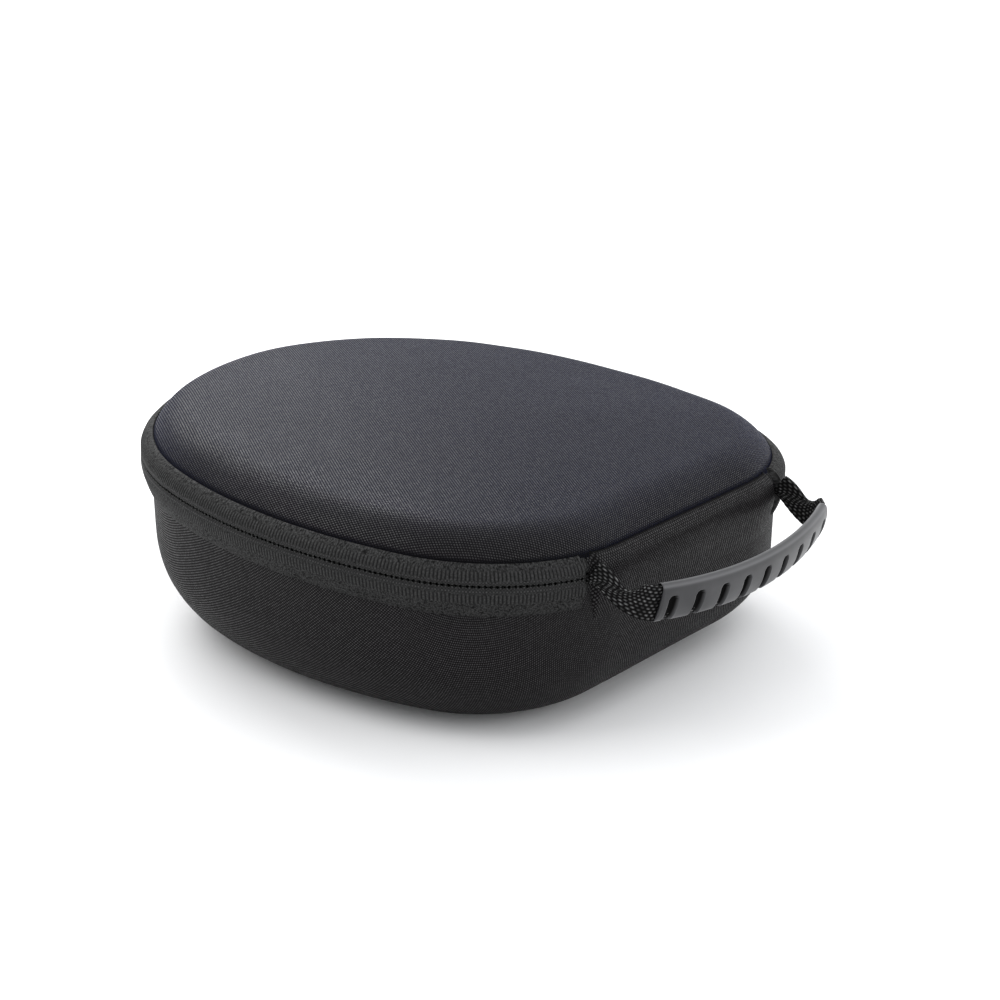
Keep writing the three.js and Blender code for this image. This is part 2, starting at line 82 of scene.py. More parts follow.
# ---- floor and light -------------------------------------------------------------------------
# A white sweep in a light tent: light comes from all round, with a soft box behind to either side.
FLOOR_SIZE = 6
FLOOR_WHITE = (0.96, 0.96, 0.96, 1)
TENT_WHITE = (0.975, 0.985, 1, 1)
TENT_STRENGTH = 1.12
TENT_SIDE = (0.4, -0.44, 0.0)
SWEEP_GLOW = 1.15

floor_mesh = bpy.data.meshes.new("floor")
bm = bmesh.new()
bmesh.ops.create_grid(bm, x_segments=1, y_segments=1, size=FLOOR_SIZE / 2)
bm.to_mesh(floor_mesh)
bm.free()
floor = bpy.data.objects.new("floor", floor_mesh)
scene.collection.objects.link(floor)
floor.location.z = cad_bounds[0][2] - 0.2 * MM

floor_paint = bpy.data.materials.new("white_sweep")
floor_paint.use_nodes = True
floor_surface = floor_paint.node_tree.nodes["Principled BSDF"]
floor_surface.inputs["Base Color"].default_value = FLOOR_WHITE
floor_surface.inputs["Roughness"].default_value = 0.6
floor_surface.inputs["Specular IOR Level"].default_value = 0.2
floor_mesh.materials.append(floor_paint)

# The tent is brighter to one side, and the sweep behind the case is seen plain white.
tent = bpy.data.worlds.new("tent")
tent.use_nodes = True
tent.node_tree.nodes["Background"].inputs["Color"].default_value = TENT_WHITE
tent_nodes = tent.node_tree.nodes
facing = tent_nodes.new("ShaderNodeVectorMath")
facing.operation = "DOT_PRODUCT"
facing.inputs[1].default_value = TENT_SIDE
toward = tent_nodes.new("ShaderNodeTexCoord")
tent.node_tree.links.new(toward.outputs["Generated"], facing.inputs[0])
level = tent_nodes.new("ShaderNodeMath")
level.operation = "MULTIPLY_ADD"
level.inputs[1].default_value = TENT_STRENGTH
level.inputs[2].default_value = TENT_STRENGTH
tent.node_tree.links.new(facing.outputs["Value"], level.inputs[0])
seen = tent_nodes.new("ShaderNodeLightPath")
glow = tent_nodes.new("ShaderNodeMix")
glow.inputs[3].default_value = SWEEP_GLOW
tent.node_tree.links.new(seen.outputs["Is Camera Ray"], glow.inputs[0])
tent.node_tree.links.new(level.outputs[0], glow.inputs[2])
tent.node_tree.links.new(glow.outputs[0], tent_nodes["Background"].inputs["Strength"])
scene.world = tent
scene.view_settings.view_transform = "Standard"


def soft_box(name, place, aim, width, power):
    lamp = bpy.data.lights.new(name, "AREA")
    lamp.size = width
    lamp.energy = power
    made = bpy.data.objects.new(name, lamp)
    made.location = place
    made.rotation_euler = (Vector(aim) - Vector(place)).to_track_quat("-Z", "Y").to_euler()
    scene.collection.objects.link(made)


soft_box("back_box", (0.7, 1.3, 1.1), (0, 0, 0.05), 1.2, 18)
soft_box("left_box", (-0.9, 0.9, 1.3), (0, 0, 0.05), 1.2, 12)

# ---- base cover --------------------------------------------------------------------------------
# The woven cover of the base: one piece of polyester cloth moulded with its foam in a press, so
# it has no seams. Its threads lie square across the floor and are carried up the walls.
BODY_HALF = 115 * MM
END_RADIUS = 104 * MM
SIDE_RADIUS = 198 * MM
CORNER_RADIUS = 65 * MM
FLAT_HALF = 40 * MM
ZIP_HEIGHT = 63.5 * MM
ZIP_LEAN = 0.047
TOP_LEAN = 0.062
LID_TOP = 83.4 * MM
BAND_FOOT = 52 * MM

END_CENTRE = Vector((0, BODY_HALF - END_RADIUS))
CORNER_CENTRE = Vector((FLAT_HALF, CORNER_RADIUS - BODY_HALF))


def tangent_centre(first, reach, second, other_reach):
    """The point at these distances from two centres, on the far side of the body."""
    across = second - first
    along = (reach**2 - other_reach**2 + across.length_squared) / (2 * across.length)
    aside = math.sqrt(reach**2 - along**2)
    unit = across.normalized()
    return first + along * unit + aside * Vector((unit.y, -unit.x))


SIDE_CENTRE = tangent_centre(
    END_CENTRE, SIDE_RADIUS - END_RADIUS, CORNER_CENTRE, SIDE_RADIUS - CORNER_RADIUS
)
END_TURN = math.acos((END_CENTRE.y - SIDE_CENTRE.y) / (SIDE_RADIUS - END_RADIUS))
CORNER_TURN = math.acos((CORNER_CENTRE.y - SIDE_CENTRE.y) / (SIDE_RADIUS - CORNER_RADIUS))
END_RUN = END_RADIUS * END_TURN
SIDE_RUN = END_RUN + SIDE_RADIUS * (CORNER_TURN - END_TURN)
CORNER_RUN = SIDE_RUN + CORNER_RADIUS * (math.pi - CORNER_TURN)
HALF_RUN = CORNER_RUN + FLAT_HALF


def outline(run, inset):
    """The point of the zip band's outline at `run` from the round end's middle, moved in, and its
    outward direction. Runs to the right are positive."""
    side = math.copysign(1, run)
    run = abs(run)
    if run > CORNER_RUN:
        place = Vector((FLAT_HALF - (run - CORNER_RUN), inset - BODY_HALF))
        out = Vector((0, -1))
    else:
        if run <= END_RUN:
            centre, radius, turn = END_CENTRE, END_RADIUS, run / END_RADIUS
        elif run <= SIDE_RUN:
            centre, radius = SIDE_CENTRE, SIDE_RADIUS
            turn = END_TURN + (run - END_RUN) / SIDE_RADIUS
        else:
            centre, radius = CORNER_CENTRE, CORNER_RADIUS
            turn = CORNER_TURN + (run - SIDE_RUN) / CORNER_RADIUS
        out = Vector((math.sin(turn), math.cos(turn)))
        place = centre + (radius - inset) * out
    return Vector((side * place.x, place.y)), Vector((side * out.x, out.y))


def leaned(x, y, z):
    """The case rises towards its round end: a height at the middle, carried to y."""
    low = ZIP_LEAN * min(max(z / BAND_FOOT, 0), 1)
    share = min(max((z - ZIP_HEIGHT) / (LID_TOP - ZIP_HEIGHT), 0), 1)
    return Vector((x, y, z + y * (low + (TOP_LEAN - low) * share)))


def laid_piece(name, across, along, place, capped=False):
    """A sheet of cloth: a grid whose points are laid by place(u, v), which gives where a point is,
    where it was on the flat cloth and how much painted seam shade it has. A tube's ends may be capped."""
    bm = bmesh.new()
    bmesh.ops.create_grid(bm, x_segments=across, y_segments=along, size=1)
    sheet = bm.verts.layers.float_vector.new("sheet")
    for vert in bm.verts:
        spot, cloth, *seam_shade = place((vert.co.x + 1) / 2, (vert.co.y + 1) / 2)
        vert.co = spot
        vert[sheet] = (*cloth[:2], seam_shade[0] if seam_shade else 0)
    bmesh.ops.remove_doubles(bm, verts=bm.verts, dist=0.00001)
    if capped:
        bmesh.ops.holes_fill(bm, edges=[edge for edge in bm.edges if edge.is_boundary])
    bmesh.ops.recalc_face_normals(bm, faces=bm.faces)
    return finished(name, bm)


def finished(name, bm, sharp=math.pi):
    """The piece as an object, smooth except where it bends by more than `sharp`."""
    mesh = bpy.data.meshes.new(name)
    bm.to_mesh(mesh)
    bm.free()
    mesh.polygons.foreach_set("use_smooth", [True] * len(mesh.polygons))
    if sharp < math.pi:
        mesh.set_sharp_from_angle(angle=sharp)
    made = bpy.data.objects.new(name, mesh)
    scene.collection.objects.link(made)
    return made


def thicken(piece, thick):
    """Gives a sheet its thickness, on its inner side."""
    wall = piece.modifiers.new("thickness", "SOLIDIFY")
    wall.thickness = thick
    wall.offset = -1
    return piece


BASE_INSET = 3.9 * MM
BASE_DRAFT = 0.031
BASE_FILLET = 35 * MM
COVER_THICK = 0.7 * MM
RIM_DROP = 4.2 * MM
BASE_STATIONS = 260
BASE_RINGS = 44
FLOOR_SHARE = 0.18
SWELL = 0.35 * MM
SWELL_FADE = 30 * MM
BROAD_SWELLS = 22
SMALL_SWELLS = 51

fillet_inset = BASE_INSET + BASE_DRAFT * (BAND_FOOT - BASE_FILLET) + BASE_FILLET


def swell(spot):
    """The slow unevenness of pressed foam under cloth, in broad swells with small ones on them."""
    return SWELL * (noise.noise(spot * BROAD_SWELLS) + 0.5 * noise.noise(spot * SMALL_SWELLS))


def base_wall(depth, rise):
    """Inset and height at a distance up the base's side from the floor's edge."""
    radius = BASE_FILLET - depth
    bend = radius * math.pi / 2
    if rise < bend:
        angle = math.pi / 2 - rise / radius
        return fillet_inset - radius * math.cos(angle), BASE_FILLET - radius * math.sin(angle)
    z = BASE_FILLET + rise - bend
    return BASE_INSET + depth + BASE_DRAFT * (BAND_FOOT - z), z


def base_layer(name, depth, rim, stations, rings):
    """One layer of the base, `depth` inside its outer face, from the floor's middle to its rim."""
    side = (BASE_FILLET - depth) * math.pi / 2 + (rim - BASE_FILLET)

    def place(u, v):
        run = (2 * u - 1) * HALF_RUN
        edge, out = outline(run, fillet_inset)
        if v <= FLOOR_SHARE:
            flat = edge * (v / FLOOR_SHARE)
            return Vector((flat.x, flat.y, depth)), flat
        rise = side * (v - FLOOR_SHARE) / (1 - FLOOR_SHARE)
        inset, z = base_wall(depth, rise)
        flat, out = outline(run, inset)
        spot = leaned(flat.x, flat.y, z)
        fade = min(rise / SWELL_FADE, 1)
        spot += fade * swell(spot) * Vector((out.x, out.y, 0))
        return spot, edge + out * rise

    return laid_piece(name, stations, rings, place)


base_cover = base_layer("base_fabric", 0, ZIP_HEIGHT - RIM_DROP, BASE_STATIONS, BASE_RINGS)
thicken(base_cover, COVER_THICK)
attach(base_cover, "base")
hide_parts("base_cover")


def new_group(name, inputs, outputs):
    """A shader node group with these sockets, and its input and output nodes."""
    group = bpy.data.node_groups.new(name, "ShaderNodeTree")
    for socket, kind in inputs.items():
        group.interface.new_socket(socket, in_out="INPUT", socket_type=kind)
    for socket, kind in outputs.items():
        group.interface.new_socket(socket, in_out="OUTPUT", socket_type=kind)
    return group, group.nodes.new("NodeGroupInput"), group.nodes.new("NodeGroupOutput")


def add_node(tree, kind, inputs=None, **settings):
    """A node with its settings, its inputs linked where they are sockets."""
    made = tree.nodes.new(kind)
    for name, value in settings.items():
        setattr(made, name, value)
    for key, value in (inputs or {}).items():
        if isinstance(value, bpy.types.NodeSocket):
            tree.links.new(value, made.inputs[key])
        else:
            made.inputs[key].default_value = value
    return made


def calc(tree, operation, *values, clamp=False):
    """The result of one Math node."""
    inputs = dict(enumerate(values))
    made = add_node(tree, "ShaderNodeMath", inputs, operation=operation, use_clamp=clamp)
    return made.outputs[0]


def mottle(tree, place, scale, detail):
    """Soft random grey, from 0 to 1."""
    inputs = {"Vector": place, "Scale": scale, "Detail": detail}
    return add_node(tree, "ShaderNodeTexNoise", inputs).outputs[0]


def shaded(tree, share, dark, light):
    """A colour between two, by a mask."""
    inputs = {0: share, 6: dark, 7: light}
    return add_node(tree, "ShaderNodeMix", inputs, data_type="RGBA").outputs[2]


def object_place(tree):
    """Where a point is on the object."""
    return add_node(tree, "ShaderNodeTexCoord").outputs["Object"]


def cloth_place(tree):
    """Where a point was on the flat cloth, whole and as its X, Y and Z."""
    cloth = add_node(tree, "ShaderNodeAttribute", attribute_name="sheet").outputs["Vector"]
    return cloth, add_node(tree, "ShaderNodeSeparateXYZ", {0: cloth}).outputs


def make_weave():
    """Plain weave of paired threads: each crossing is a small pillow of the thread that passes
    over. Dot is the crown of the threads that catch the light."""
    group, start, end = new_group(
        "plain_weave",
        {"Cloth": "NodeSocketVector", "Across": "NodeSocketFloat", "Along": "NodeSocketFloat"},
        {"Height": "NodeSocketFloat", "Dot": "NodeSocketFloat", "Tone": "NodeSocketFloat"},
    )
    split = add_node(group, "ShaderNodeSeparateXYZ", {0: start.outputs["Cloth"]})
    wobble = mottle(group, start.outputs["Cloth"], 260.0, 1.0)
    stray = calc(group, "MULTIPLY_ADD", wobble, 0.5, -0.25)
    cells, humps = [], []
    for axis, pitch in (("X", "Across"), ("Y", "Along")):
        count = calc(group, "DIVIDE", split.outputs[axis], start.outputs[pitch])
        count = calc(group, "ADD", count, stray)
        cells.append(calc(group, "FLOOR", count))
        offset = calc(group, "SUBTRACT", calc(group, "FRACT", count), 0.5)
        square = calc(group, "MULTIPLY", calc(group, "POWER", calc(group, "ABSOLUTE", offset), 2.0), 4.0)
        humps.append(calc(group, "SUBTRACT", 1.0, square))
    over = calc(group, "FLOORED_MODULO", calc(group, "ADD", *cells), 2.0)
    pillow = calc(group, "MULTIPLY", *humps)
    height = calc(group, "MULTIPLY", pillow, calc(group, "MULTIPLY_ADD", over, 0.6, 0.4))
    dot = calc(group, "MULTIPLY", calc(group, "POWER", pillow, 0.6), over)
    place = add_node(group, "ShaderNodeCombineXYZ", {0: cells[0], 1: cells[1]})
    tone = add_node(group, "ShaderNodeTexWhiteNoise", {0: place.outputs[0]}).outputs[0]
    group.links.new(height, end.inputs["Height"])
    group.links.new(dot, end.inputs["Dot"])
    group.links.new(tone, end.inputs["Tone"])
    return group


def make_lint():
    """Lint and dust: a few pale specks."""
    group, start, end = new_group(
        "lint",
        {"Place": "NodeSocketVector", "Amount": "NodeSocketFloat"},
        {"Speck": "NodeSocketFloat"},
    )
    specks = add_node(
        group,
        "ShaderNodeTexVoronoi",
        {"Vector": start.outputs["Place"], "Scale": 90.0, "Randomness": 1.0},
    )
    near = calc(group, "LESS_THAN", specks.outputs["Distance"], 0.028)
    rare = calc(group, "GREATER_THAN", specks.outputs["Color"], 0.86)
    mask = calc(group, "MULTIPLY", calc(group, "MULTIPLY", near, rare), start.outputs["Amount"])
    group.links.new(mask, end.inputs["Speck"])
    return group


LINT = (0.3, 0.3, 0.31, 1)
weave_group = make_weave()
lint_group = make_lint()


def place_group(tree, group, **inputs):
    """A shared effect placed in a material with its own values."""
    made = add_node(tree, "ShaderNodeGroup", node_tree=group)
    for name, value in inputs.items():
        if isinstance(value, bpy.types.NodeSocket):
            tree.links.new(value, made.inputs[name])
        else:
            made.inputs[name].default_value = value
    return made


def new_material(name, roughness, **settings):
    """A material and its Principled node, with the values that are the same all over."""
    material = bpy.data.materials.new(name)
    material.use_nodes = True
    surface = material.node_tree.nodes["Principled BSDF"]
    surface.inputs["Roughness"].default_value = roughness
    for key, value in settings.items():
        surface.inputs[key.replace("_", " ").title().replace("Ior", "IOR")].default_value = value
    return material, material.node_tree, surface


def coat(piece, *materials):
    """Puts materials on a piece's slots."""
    piece.data.materials.clear()
    for material in materials:
        piece.data.materials.append(material)


def dusted(tree, shade, amount):
    """A colour with pale lint over it."""
    lint = place_group(tree, lint_group, Place=object_place(tree), Amount=amount)
    return shaded(tree, lint.outputs["Speck"], shade, LINT)


def relief(tree, surface, height, strength, distance):
    """Small height on a surface, through its normal."""
    bump = add_node(
        tree, "ShaderNodeBump", {"Strength": strength, "Distance": distance, "Height": height}
    )
    tree.links.new(bump.outputs[0], surface.inputs["Normal"])


SHEEN_BLUE = (0.1, 0.2, 1, 1)
COVER_ACROSS = 0.56 * MM
COVER_ALONG = 0.8 * MM


def woven_cloth(name, dark, light, gloss, sheen):
    """Woven polyester: dull threads whose crowns are painted lighter as sheen, with painted shade in the
    gaps and along seams, and a glossy crown on those that face the light."""
    material, tree, surface = new_material(
        name, 0.8, specular_ior_level=0.06, coat_roughness=0.42, sheen_weight=sheen
    )
    surface.inputs["Sheen Tint"].default_value = SHEEN_BLUE
    surface.inputs["Sheen Roughness"].default_value = 0.4
    cloth, at = cloth_place(tree)
    weave = place_group(tree, weave_group, Cloth=cloth, Across=COVER_ACROSS, Along=COVER_ALONG)
    # Painted shade along seams: there the colour falls to the gap colour and the gloss goes.
    clear_of_seam_shade = calc(tree, "SUBTRACT", 1.0, at["Z"], clamp=True)
    pillow = calc(tree, "MULTIPLY", weave.outputs["Height"], clear_of_seam_shade)
    shade = shaded(tree, pillow, dark, light)
    tree.links.new(dusted(tree, shade, 1.0), surface.inputs["Base Color"])
    tone = calc(tree, "MULTIPLY_ADD", weave.outputs["Tone"], 0.6, 0.7)
    lit = calc(tree, "MULTIPLY", calc(tree, "MULTIPLY", weave.outputs["Dot"], tone), gloss)
    lit = calc(tree, "MULTIPLY", lit, clear_of_seam_shade)
    tree.links.new(lit, surface.inputs["Coat Weight"])
    relief(tree, surface, weave.outputs["Height"], 0.8, 0.3 * MM)
    return material


# Black cloth: the darker colour is painted shade in gaps and seams, the lighter painted sheen on crowns.
CLOTH_GAP_SHADE = (0.002, 0.0018, 0.002, 1)
CLOTH_CROWN_SHEEN = (0.016, 0.0142, 0.0155, 1)
base_cloth = woven_cloth("base_polyester", CLOTH_GAP_SHADE, CLOTH_CROWN_SHEEN, gloss=0.78, sheen=0)
coat(base_cover, base_cloth)

# ---- lid cover ---------------------------------------------------------------------------------
# The lid's woven cover, moulded like the base's: a shallow crown with a rounded shoulder that
# tucks in behind the upper zip tape.
LID_INSET = 5.75 * MM
LID_CROWN = 3.5 * MM
LID_SHOULDER = 18.5 * MM
UPPER_TAPE = 7.15 * MM
CROWN_MIDDLE = Vector((0, -4 * MM))
CROWN_REACH = 84 * MM
LID_STATIONS = 260
LID_RINGS = 48
CROWN_SHARE = 0.52
SEAM_SHADE_WIDTH = 1.1 * MM

shoulder_z = LID_TOP - LID_CROWN - LID_SHOULDER
shoulder_start = math.asin((ZIP_HEIGHT + UPPER_TAPE - shoulder_z) / LID_SHOULDER)
shoulder_inset = LID_INSET + LID_SHOULDER * math.cos(shoulder_start)
shoulder_end = math.pi / 2 - math.atan(2 * LID_CROWN / CROWN_REACH)


def ease(value):
    """A smooth step from 0 to 1 as the value goes from 0 to 1."""
    value = min(max(value, 0), 1)
    return value * value * (3 - 2 * value)


def lid_layer(name, depth, rim, stations, rings):
    """One layer of the lid, `depth` inside its outer face, from its rim to its middle."""
    radius = LID_SHOULDER - depth
    first = math.asin((rim - shoulder_z) / radius)
    edge_inset = shoulder_inset - radius * math.cos(shoulder_end)
    edge_z = shoulder_z + radius * math.sin(shoulder_end)
    wall = 1 - CROWN_SHARE

    def place(u, v):
        run = (2 * u - 1) * HALF_RUN
        edge, out = outline(run, edge_inset)
        if v >= wall:
            share = (1 - v) / CROWN_SHARE
            flat = CROWN_MIDDLE + (edge - CROWN_MIDDLE) * share
            z = edge_z + LID_CROWN * (1 - share * share)
            spot = leaned(flat.x, flat.y, z)
            spot.z += share * swell(spot)
            return spot, flat
        angle = first + (shoulder_end - first) * v / wall
        inset, z = shoulder_inset - radius * math.cos(angle), shoulder_z + radius * math.sin(angle)
        flat, out = outline(run, inset)
        spot = leaned(flat.x, flat.y, z)
        spot += swell(spot) * Vector((out.x * math.cos(angle), out.y * math.cos(angle), math.sin(angle)))
        # Painted shade: the cloth is darkened over its foot, in the groove where it tucks behind the
        # tape.
        seam_shade = 1 - ease((angle - shoulder_start) * radius / SEAM_SHADE_WIDTH)
        return spot, edge + out * radius * (shoulder_end - angle), seam_shade

    return laid_piece(name, stations, rings, place)


lid_cover = lid_layer("lid_fabric", 0, ZIP_HEIGHT + RIM_DROP, LID_STATIONS, LID_RINGS)
thicken(lid_cover, COVER_THICK)
lid_cloth = woven_cloth("lid_polyester", CLOTH_GAP_SHADE, CLOTH_CROWN_SHEEN, gloss=0.72, sheen=0.05)
coat(lid_cover, lid_cloth)
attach(lid_cover, "lid")
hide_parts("lid_cover")

# ---- zip tapes -----------------------------------------------------------------------------------
# Knitted zip tape in two halves, sewn to the covers and bulged outwards. Each has a plain hem, a
# stretch of raised ribs, and a braided edge whose stitches nearly bridge the gap between the halves.
STRAP_X = 57.2 * MM
TAPE_END_X = 57.4 * MM
PANEL_END_X = 57.0 * MM
TAPE_THICK = 0.6 * MM
TAPE_STEP = 0.33 * MM
RIB_PITCH = 1.35 * MM
RIB_HEIGHT = 0.13 * MM
STITCH_PITCH = 2 * MM
STITCH_REACH = 0.42 * MM
TAPE_TUCK = 3.4 * MM
TUCK_DEPTH = 2.7 * MM
EDGE_SHARE = 1 / 7
TAPE_WAVE = 0.12 * MM
TAPE_WAVES = 90


def run_at(x):
    """The run of the outline's point on the corner at this distance across."""
    return CORNER_RUN - CORNER_RADIUS * math.asin((x - FLAT_HALF) / CORNER_RADIUS)


def between(a, b, c, d, t):
    """The point at a share t of the way from b to c on a smooth curve through four points."""
    bend = (2 * a - 5 * b + 4 * c - d) * t + (3 * b - a - 3 * c + d) * t * t
    return b + 0.5 * t * ((c - a) + bend)


def smooth_line(points, share):
    """The point at a share of the way along a smooth curve through points."""
    count = len(points) - 1
    at = min(int(share * count), count - 1)
    near = (Vector(points[max(min(at + k, count), 0)]) for k in (-1, 0, 1, 2))
    return between(*near, share * count - at)


TAPE_RUN = run_at(TAPE_END_X)


def tape_piece(name, face, side, ribs, cells):
    """A tape half: face is its (inset, rise) section in millimetres, from the zip's middle outwards,
    and ribs the two heights over the zip's middle that the ribs lie between."""
    low, high = ribs

    def place(u, v):
        run = (2 * u - 1) * TAPE_RUN
        inset, rise = smooth_line(face, v) * MM
        reach = abs(rise)
        edge = max(0, 1 - v / EDGE_SHARE)
        stitch = 0.5 + 0.5 * math.cos(2 * math.pi * run / STITCH_PITCH)
        rise -= side * edge * STITCH_REACH * ease(stitch * 1.6 - 0.2)
        band = ease((reach - low) / MM * 2.5) * ease((high - reach) / MM * 2.5)
        inset -= RIB_HEIGHT * band * abs(math.sin(math.pi * run / RIB_PITCH)) ** 0.7
        inset += TUCK_DEPTH * ease((abs(run) - TAPE_RUN + TAPE_TUCK) / (0.4 * TAPE_TUCK))
        flat, out = outline(run, inset)
        spot = leaned(flat.x, flat.y, ZIP_HEIGHT + rise)
        wave = TAPE_WAVE * noise.noise(Vector((run * TAPE_WAVES, 3 * side, 0)))
        return spot + wave * Vector((out.x, out.y, 0)), (run, reach)

    made = laid_piece(name, round(2 * TAPE_RUN / TAPE_STEP), cells, place)
    return thicken(made, TAPE_THICK)


UPPER_FACE = [
    (0.3, 0.55), (0.06, 1.2), (0.3, 2.6), (1.1, 4.1), (2.6, 5.7), (4.4, 6.85), (5.1, 6.6), (5.3, 6),
]
LOWER_FACE = [
    (0.3, -0.55), (0.02, -1.3), (0.05, -3), (0.4, -5.2), (1, -7.6), (1.8, -9.8), (2.7, -11.5),
]
UPPER_RIBS = (2 * MM, 5.2 * MM)
LOWER_RIBS = (2.6 * MM, 6.2 * MM)
upper_tape = tape_piece("lid_tape", UPPER_FACE, 1, UPPER_RIBS, 15)
lower_tape = tape_piece("base_tape", LOWER_FACE, -1, LOWER_RIBS, 17)


BRAID_PITCH = 0.8 * MM
BAND_FADE = 0.4 * MM
# Painted shade for the tape's valleys and a painted highlight for its raised crowns.
TAPE_VALLEY_SHADE = (0.003, 0.003, 0.003, 1)
TAPE_CROWN_HIGHLIGHT = (0.036, 0.036, 0.036, 1)


def knitted_tape(name, ribs, braid):
    """Zip tape: fine knit, ribs and a coarse braid at its edge; crowns painted lighter, valleys painted
    as shade.
    """
    material, tree, surface = new_material(name, 0.8, specular_ior_level=0.06, coat_roughness=0.5)
    cloth, at = cloth_place(tree)
    fuzz = calc(tree, "MULTIPLY_ADD", mottle(tree, cloth, 1500.0, 2.0), 3.2, -1.1, clamp=True)
    loops = add_node(tree, "ShaderNodeTexVoronoi", {"Vector": cloth, "Scale": 2100.0})
    knit = calc(tree, "MULTIPLY_ADD", loops.outputs["Distance"], -1.2, 1.1, clamp=True)
    turned = add_node(tree, "ShaderNodeMapping", {0: cloth, "Rotation": (0, 0, math.radians(45))})
    plait = place_group(
        tree, weave_group, Cloth=turned.outputs[0], Across=BRAID_PITCH, Along=BRAID_PITCH
    ).outputs["Height"]
    plait = calc(tree, "MULTIPLY_ADD", plait, 0.9, 0.25)
    count = calc(tree, "MULTIPLY", at["X"], math.pi / RIB_PITCH)
    rib = calc(tree, "ABSOLUTE", calc(tree, "SINE", count))
    rib = calc(tree, "MULTIPLY", rib, calc(tree, "MULTIPLY_ADD", knit, 0.45, 0.55))
    masks = []
    for low, high in ribs, braid:
        rise = add_node(tree, "ShaderNodeMapRange", {0: at["Y"], 1: low, 2: low + BAND_FADE})
        fall = add_node(tree, "ShaderNodeMapRange", {0: at["Y"], 1: high, 2: high - BAND_FADE})
        masks.append(calc(tree, "MULTIPLY", rise.outputs[0], fall.outputs[0]))
    height = add_node(tree, "ShaderNodeMix", {0: masks[1], 2: knit, 3: plait}).outputs[0]
    height = add_node(tree, "ShaderNodeMix", {0: masks[0], 2: height, 3: rib}).outputs[0]
    height = calc(tree, "MULTIPLY", height, calc(tree, "MULTIPLY_ADD", fuzz, 0.5, 0.5))
    # Painted light and shade: raised knit, braid and ribs lighter, the valleys between them darker.
    shade = shaded(tree, height, TAPE_VALLEY_SHADE, TAPE_CROWN_HIGHLIGHT)
    tree.links.new(dusted(tree, shade, 1.0), surface.inputs["Base Color"])
    tree.links.new(calc(tree, "MULTIPLY", height, 0.5), surface.inputs["Coat Weight"])
    relief(tree, surface, height, 0.8, 0.25 * MM)
    return material


for tape, body, ribs in ((upper_tape, "lid", UPPER_RIBS), (lower_tape, "base", LOWER_RIBS)):
    coat(tape, knitted_tape(body + "_tape_knit", ribs, (0, ribs[0])))
    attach(tape, body)
    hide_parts(body + "_zip_tape")

# ---- zip coils -----------------------------------------------------------------------------------
# A coil of nylon filament behind the edge of each tape, sewn along it, so that only the tips of its
# loops show between the two tapes.
COIL_PITCH = 1.27 * MM
COIL_STEPS = 8
COIL_INSET = 2.4 * MM
COIL_RISE = 1.5 * MM
COIL_DEEP = 0.62 * MM
COIL_HIGH = 1.15 * MM
COIL_WIRE = 0.28 * MM


def wire_piece(name, points, wire, closed=False, sides=1):
    """Round wire along a line of points, as a mesh."""
    line = bpy.data.curves.new(name, "CURVE")
    line.dimensions = "3D"
    line.bevel_depth = wire
    line.bevel_resolution = sides
    line.use_fill_caps = True
    path = line.splines.new("POLY")
    path.points.add(len(points) - 1)
    for knot, spot in zip(path.points, points):
        knot.co = (*spot, 1)
    path.use_cyclic_u = closed
    drawn = bpy.data.objects.new(name + "_line", line)
    scene.collection.objects.link(drawn)
    mesh = bpy.data.meshes.new_from_object(drawn.evaluated_get(bpy.context.evaluated_depsgraph_get()))
    bpy.data.objects.remove(drawn)
    mesh.name = name
    mesh.polygons.foreach_set("use_smooth", [True] * len(mesh.polygons))
    made = bpy.data.objects.new(name, mesh)
    scene.collection.objects.link(made)
    return made


def coil_piece(name, side):
    """A coil along its tape's edge, on the upper side of the zip or on the lower."""
    half = TAPE_RUN - TAPE_TUCK
    turns = int(2 * half / COIL_PITCH)
    points = []
    for step in range(turns * COIL_STEPS + 1):
        angle = 2 * math.pi * step / COIL_STEPS
        run = half * (2 * step / (turns * COIL_STEPS) - 1)
        inset = COIL_INSET + COIL_DEEP * math.sin(angle)
        rise = side * (COIL_RISE - COIL_HIGH * math.cos(angle))
        flat, out = outline(run, inset)
        points.append(leaned(flat.x, flat.y, ZIP_HEIGHT + rise))
    return wire_piece(name, points, COIL_WIRE)


def moulded_nylon(name):
    """Black nylon filament, smooth and a little glossy."""
    material, tree, surface = new_material(name, 0.35, specular_ior_level=0.5)
    grain = mottle(tree, object_place(tree), 700.0, 3.0)
    shade = shaded(tree, grain, (0.007, 0.007, 0.008, 1), (0.016, 0.016, 0.017, 1))
    tree.links.new(shade, surface.inputs["Base Color"])
    rough = calc(tree, "MULTIPLY_ADD", grain, 0.2, 0.27)
    tree.links.new(rough, surface.inputs["Roughness"])
    return material


nylon = moulded_nylon("nylon_filament")
for side, body in ((1, "lid"), (-1, "base")):
    coil = coil_piece(body + "_coil", side)
    coat(coil, nylon)
    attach(coil, body)
    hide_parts(body + "_zip_coil")

# ---- hinge panel ---------------------------------------------------------------------------------
# A strip of the cover cloth across the flat side, sewn to the lid's foot and let into the base's
# wall. It is the hinge: it folds level with the zip when the lid opens.
PANEL_FACE = [
    (4.3, -19), (3.6, -16), (2.6, -12.5), (1.5, -8.5), (0.6, -4), (0.4, 0), (1.1, 3.6), (2.9, 6.0),
    (4.5, 6.95), (5.15, 6.6), (5.3, 6),
]
PANEL_SLACK = 0.7 * MM
PANEL_TUCK = 3.6 * MM
PANEL_SHADE_RISE = 6.5 * MM
PANEL_SHADE_WIDTH = 0.4 * MM
panel_half = HALF_RUN - run_at(PANEL_END_X)


def across_run(q):
    """The run of a point at distance q from the flat side's middle."""
    return math.copysign(HALF_RUN - abs(q), q)


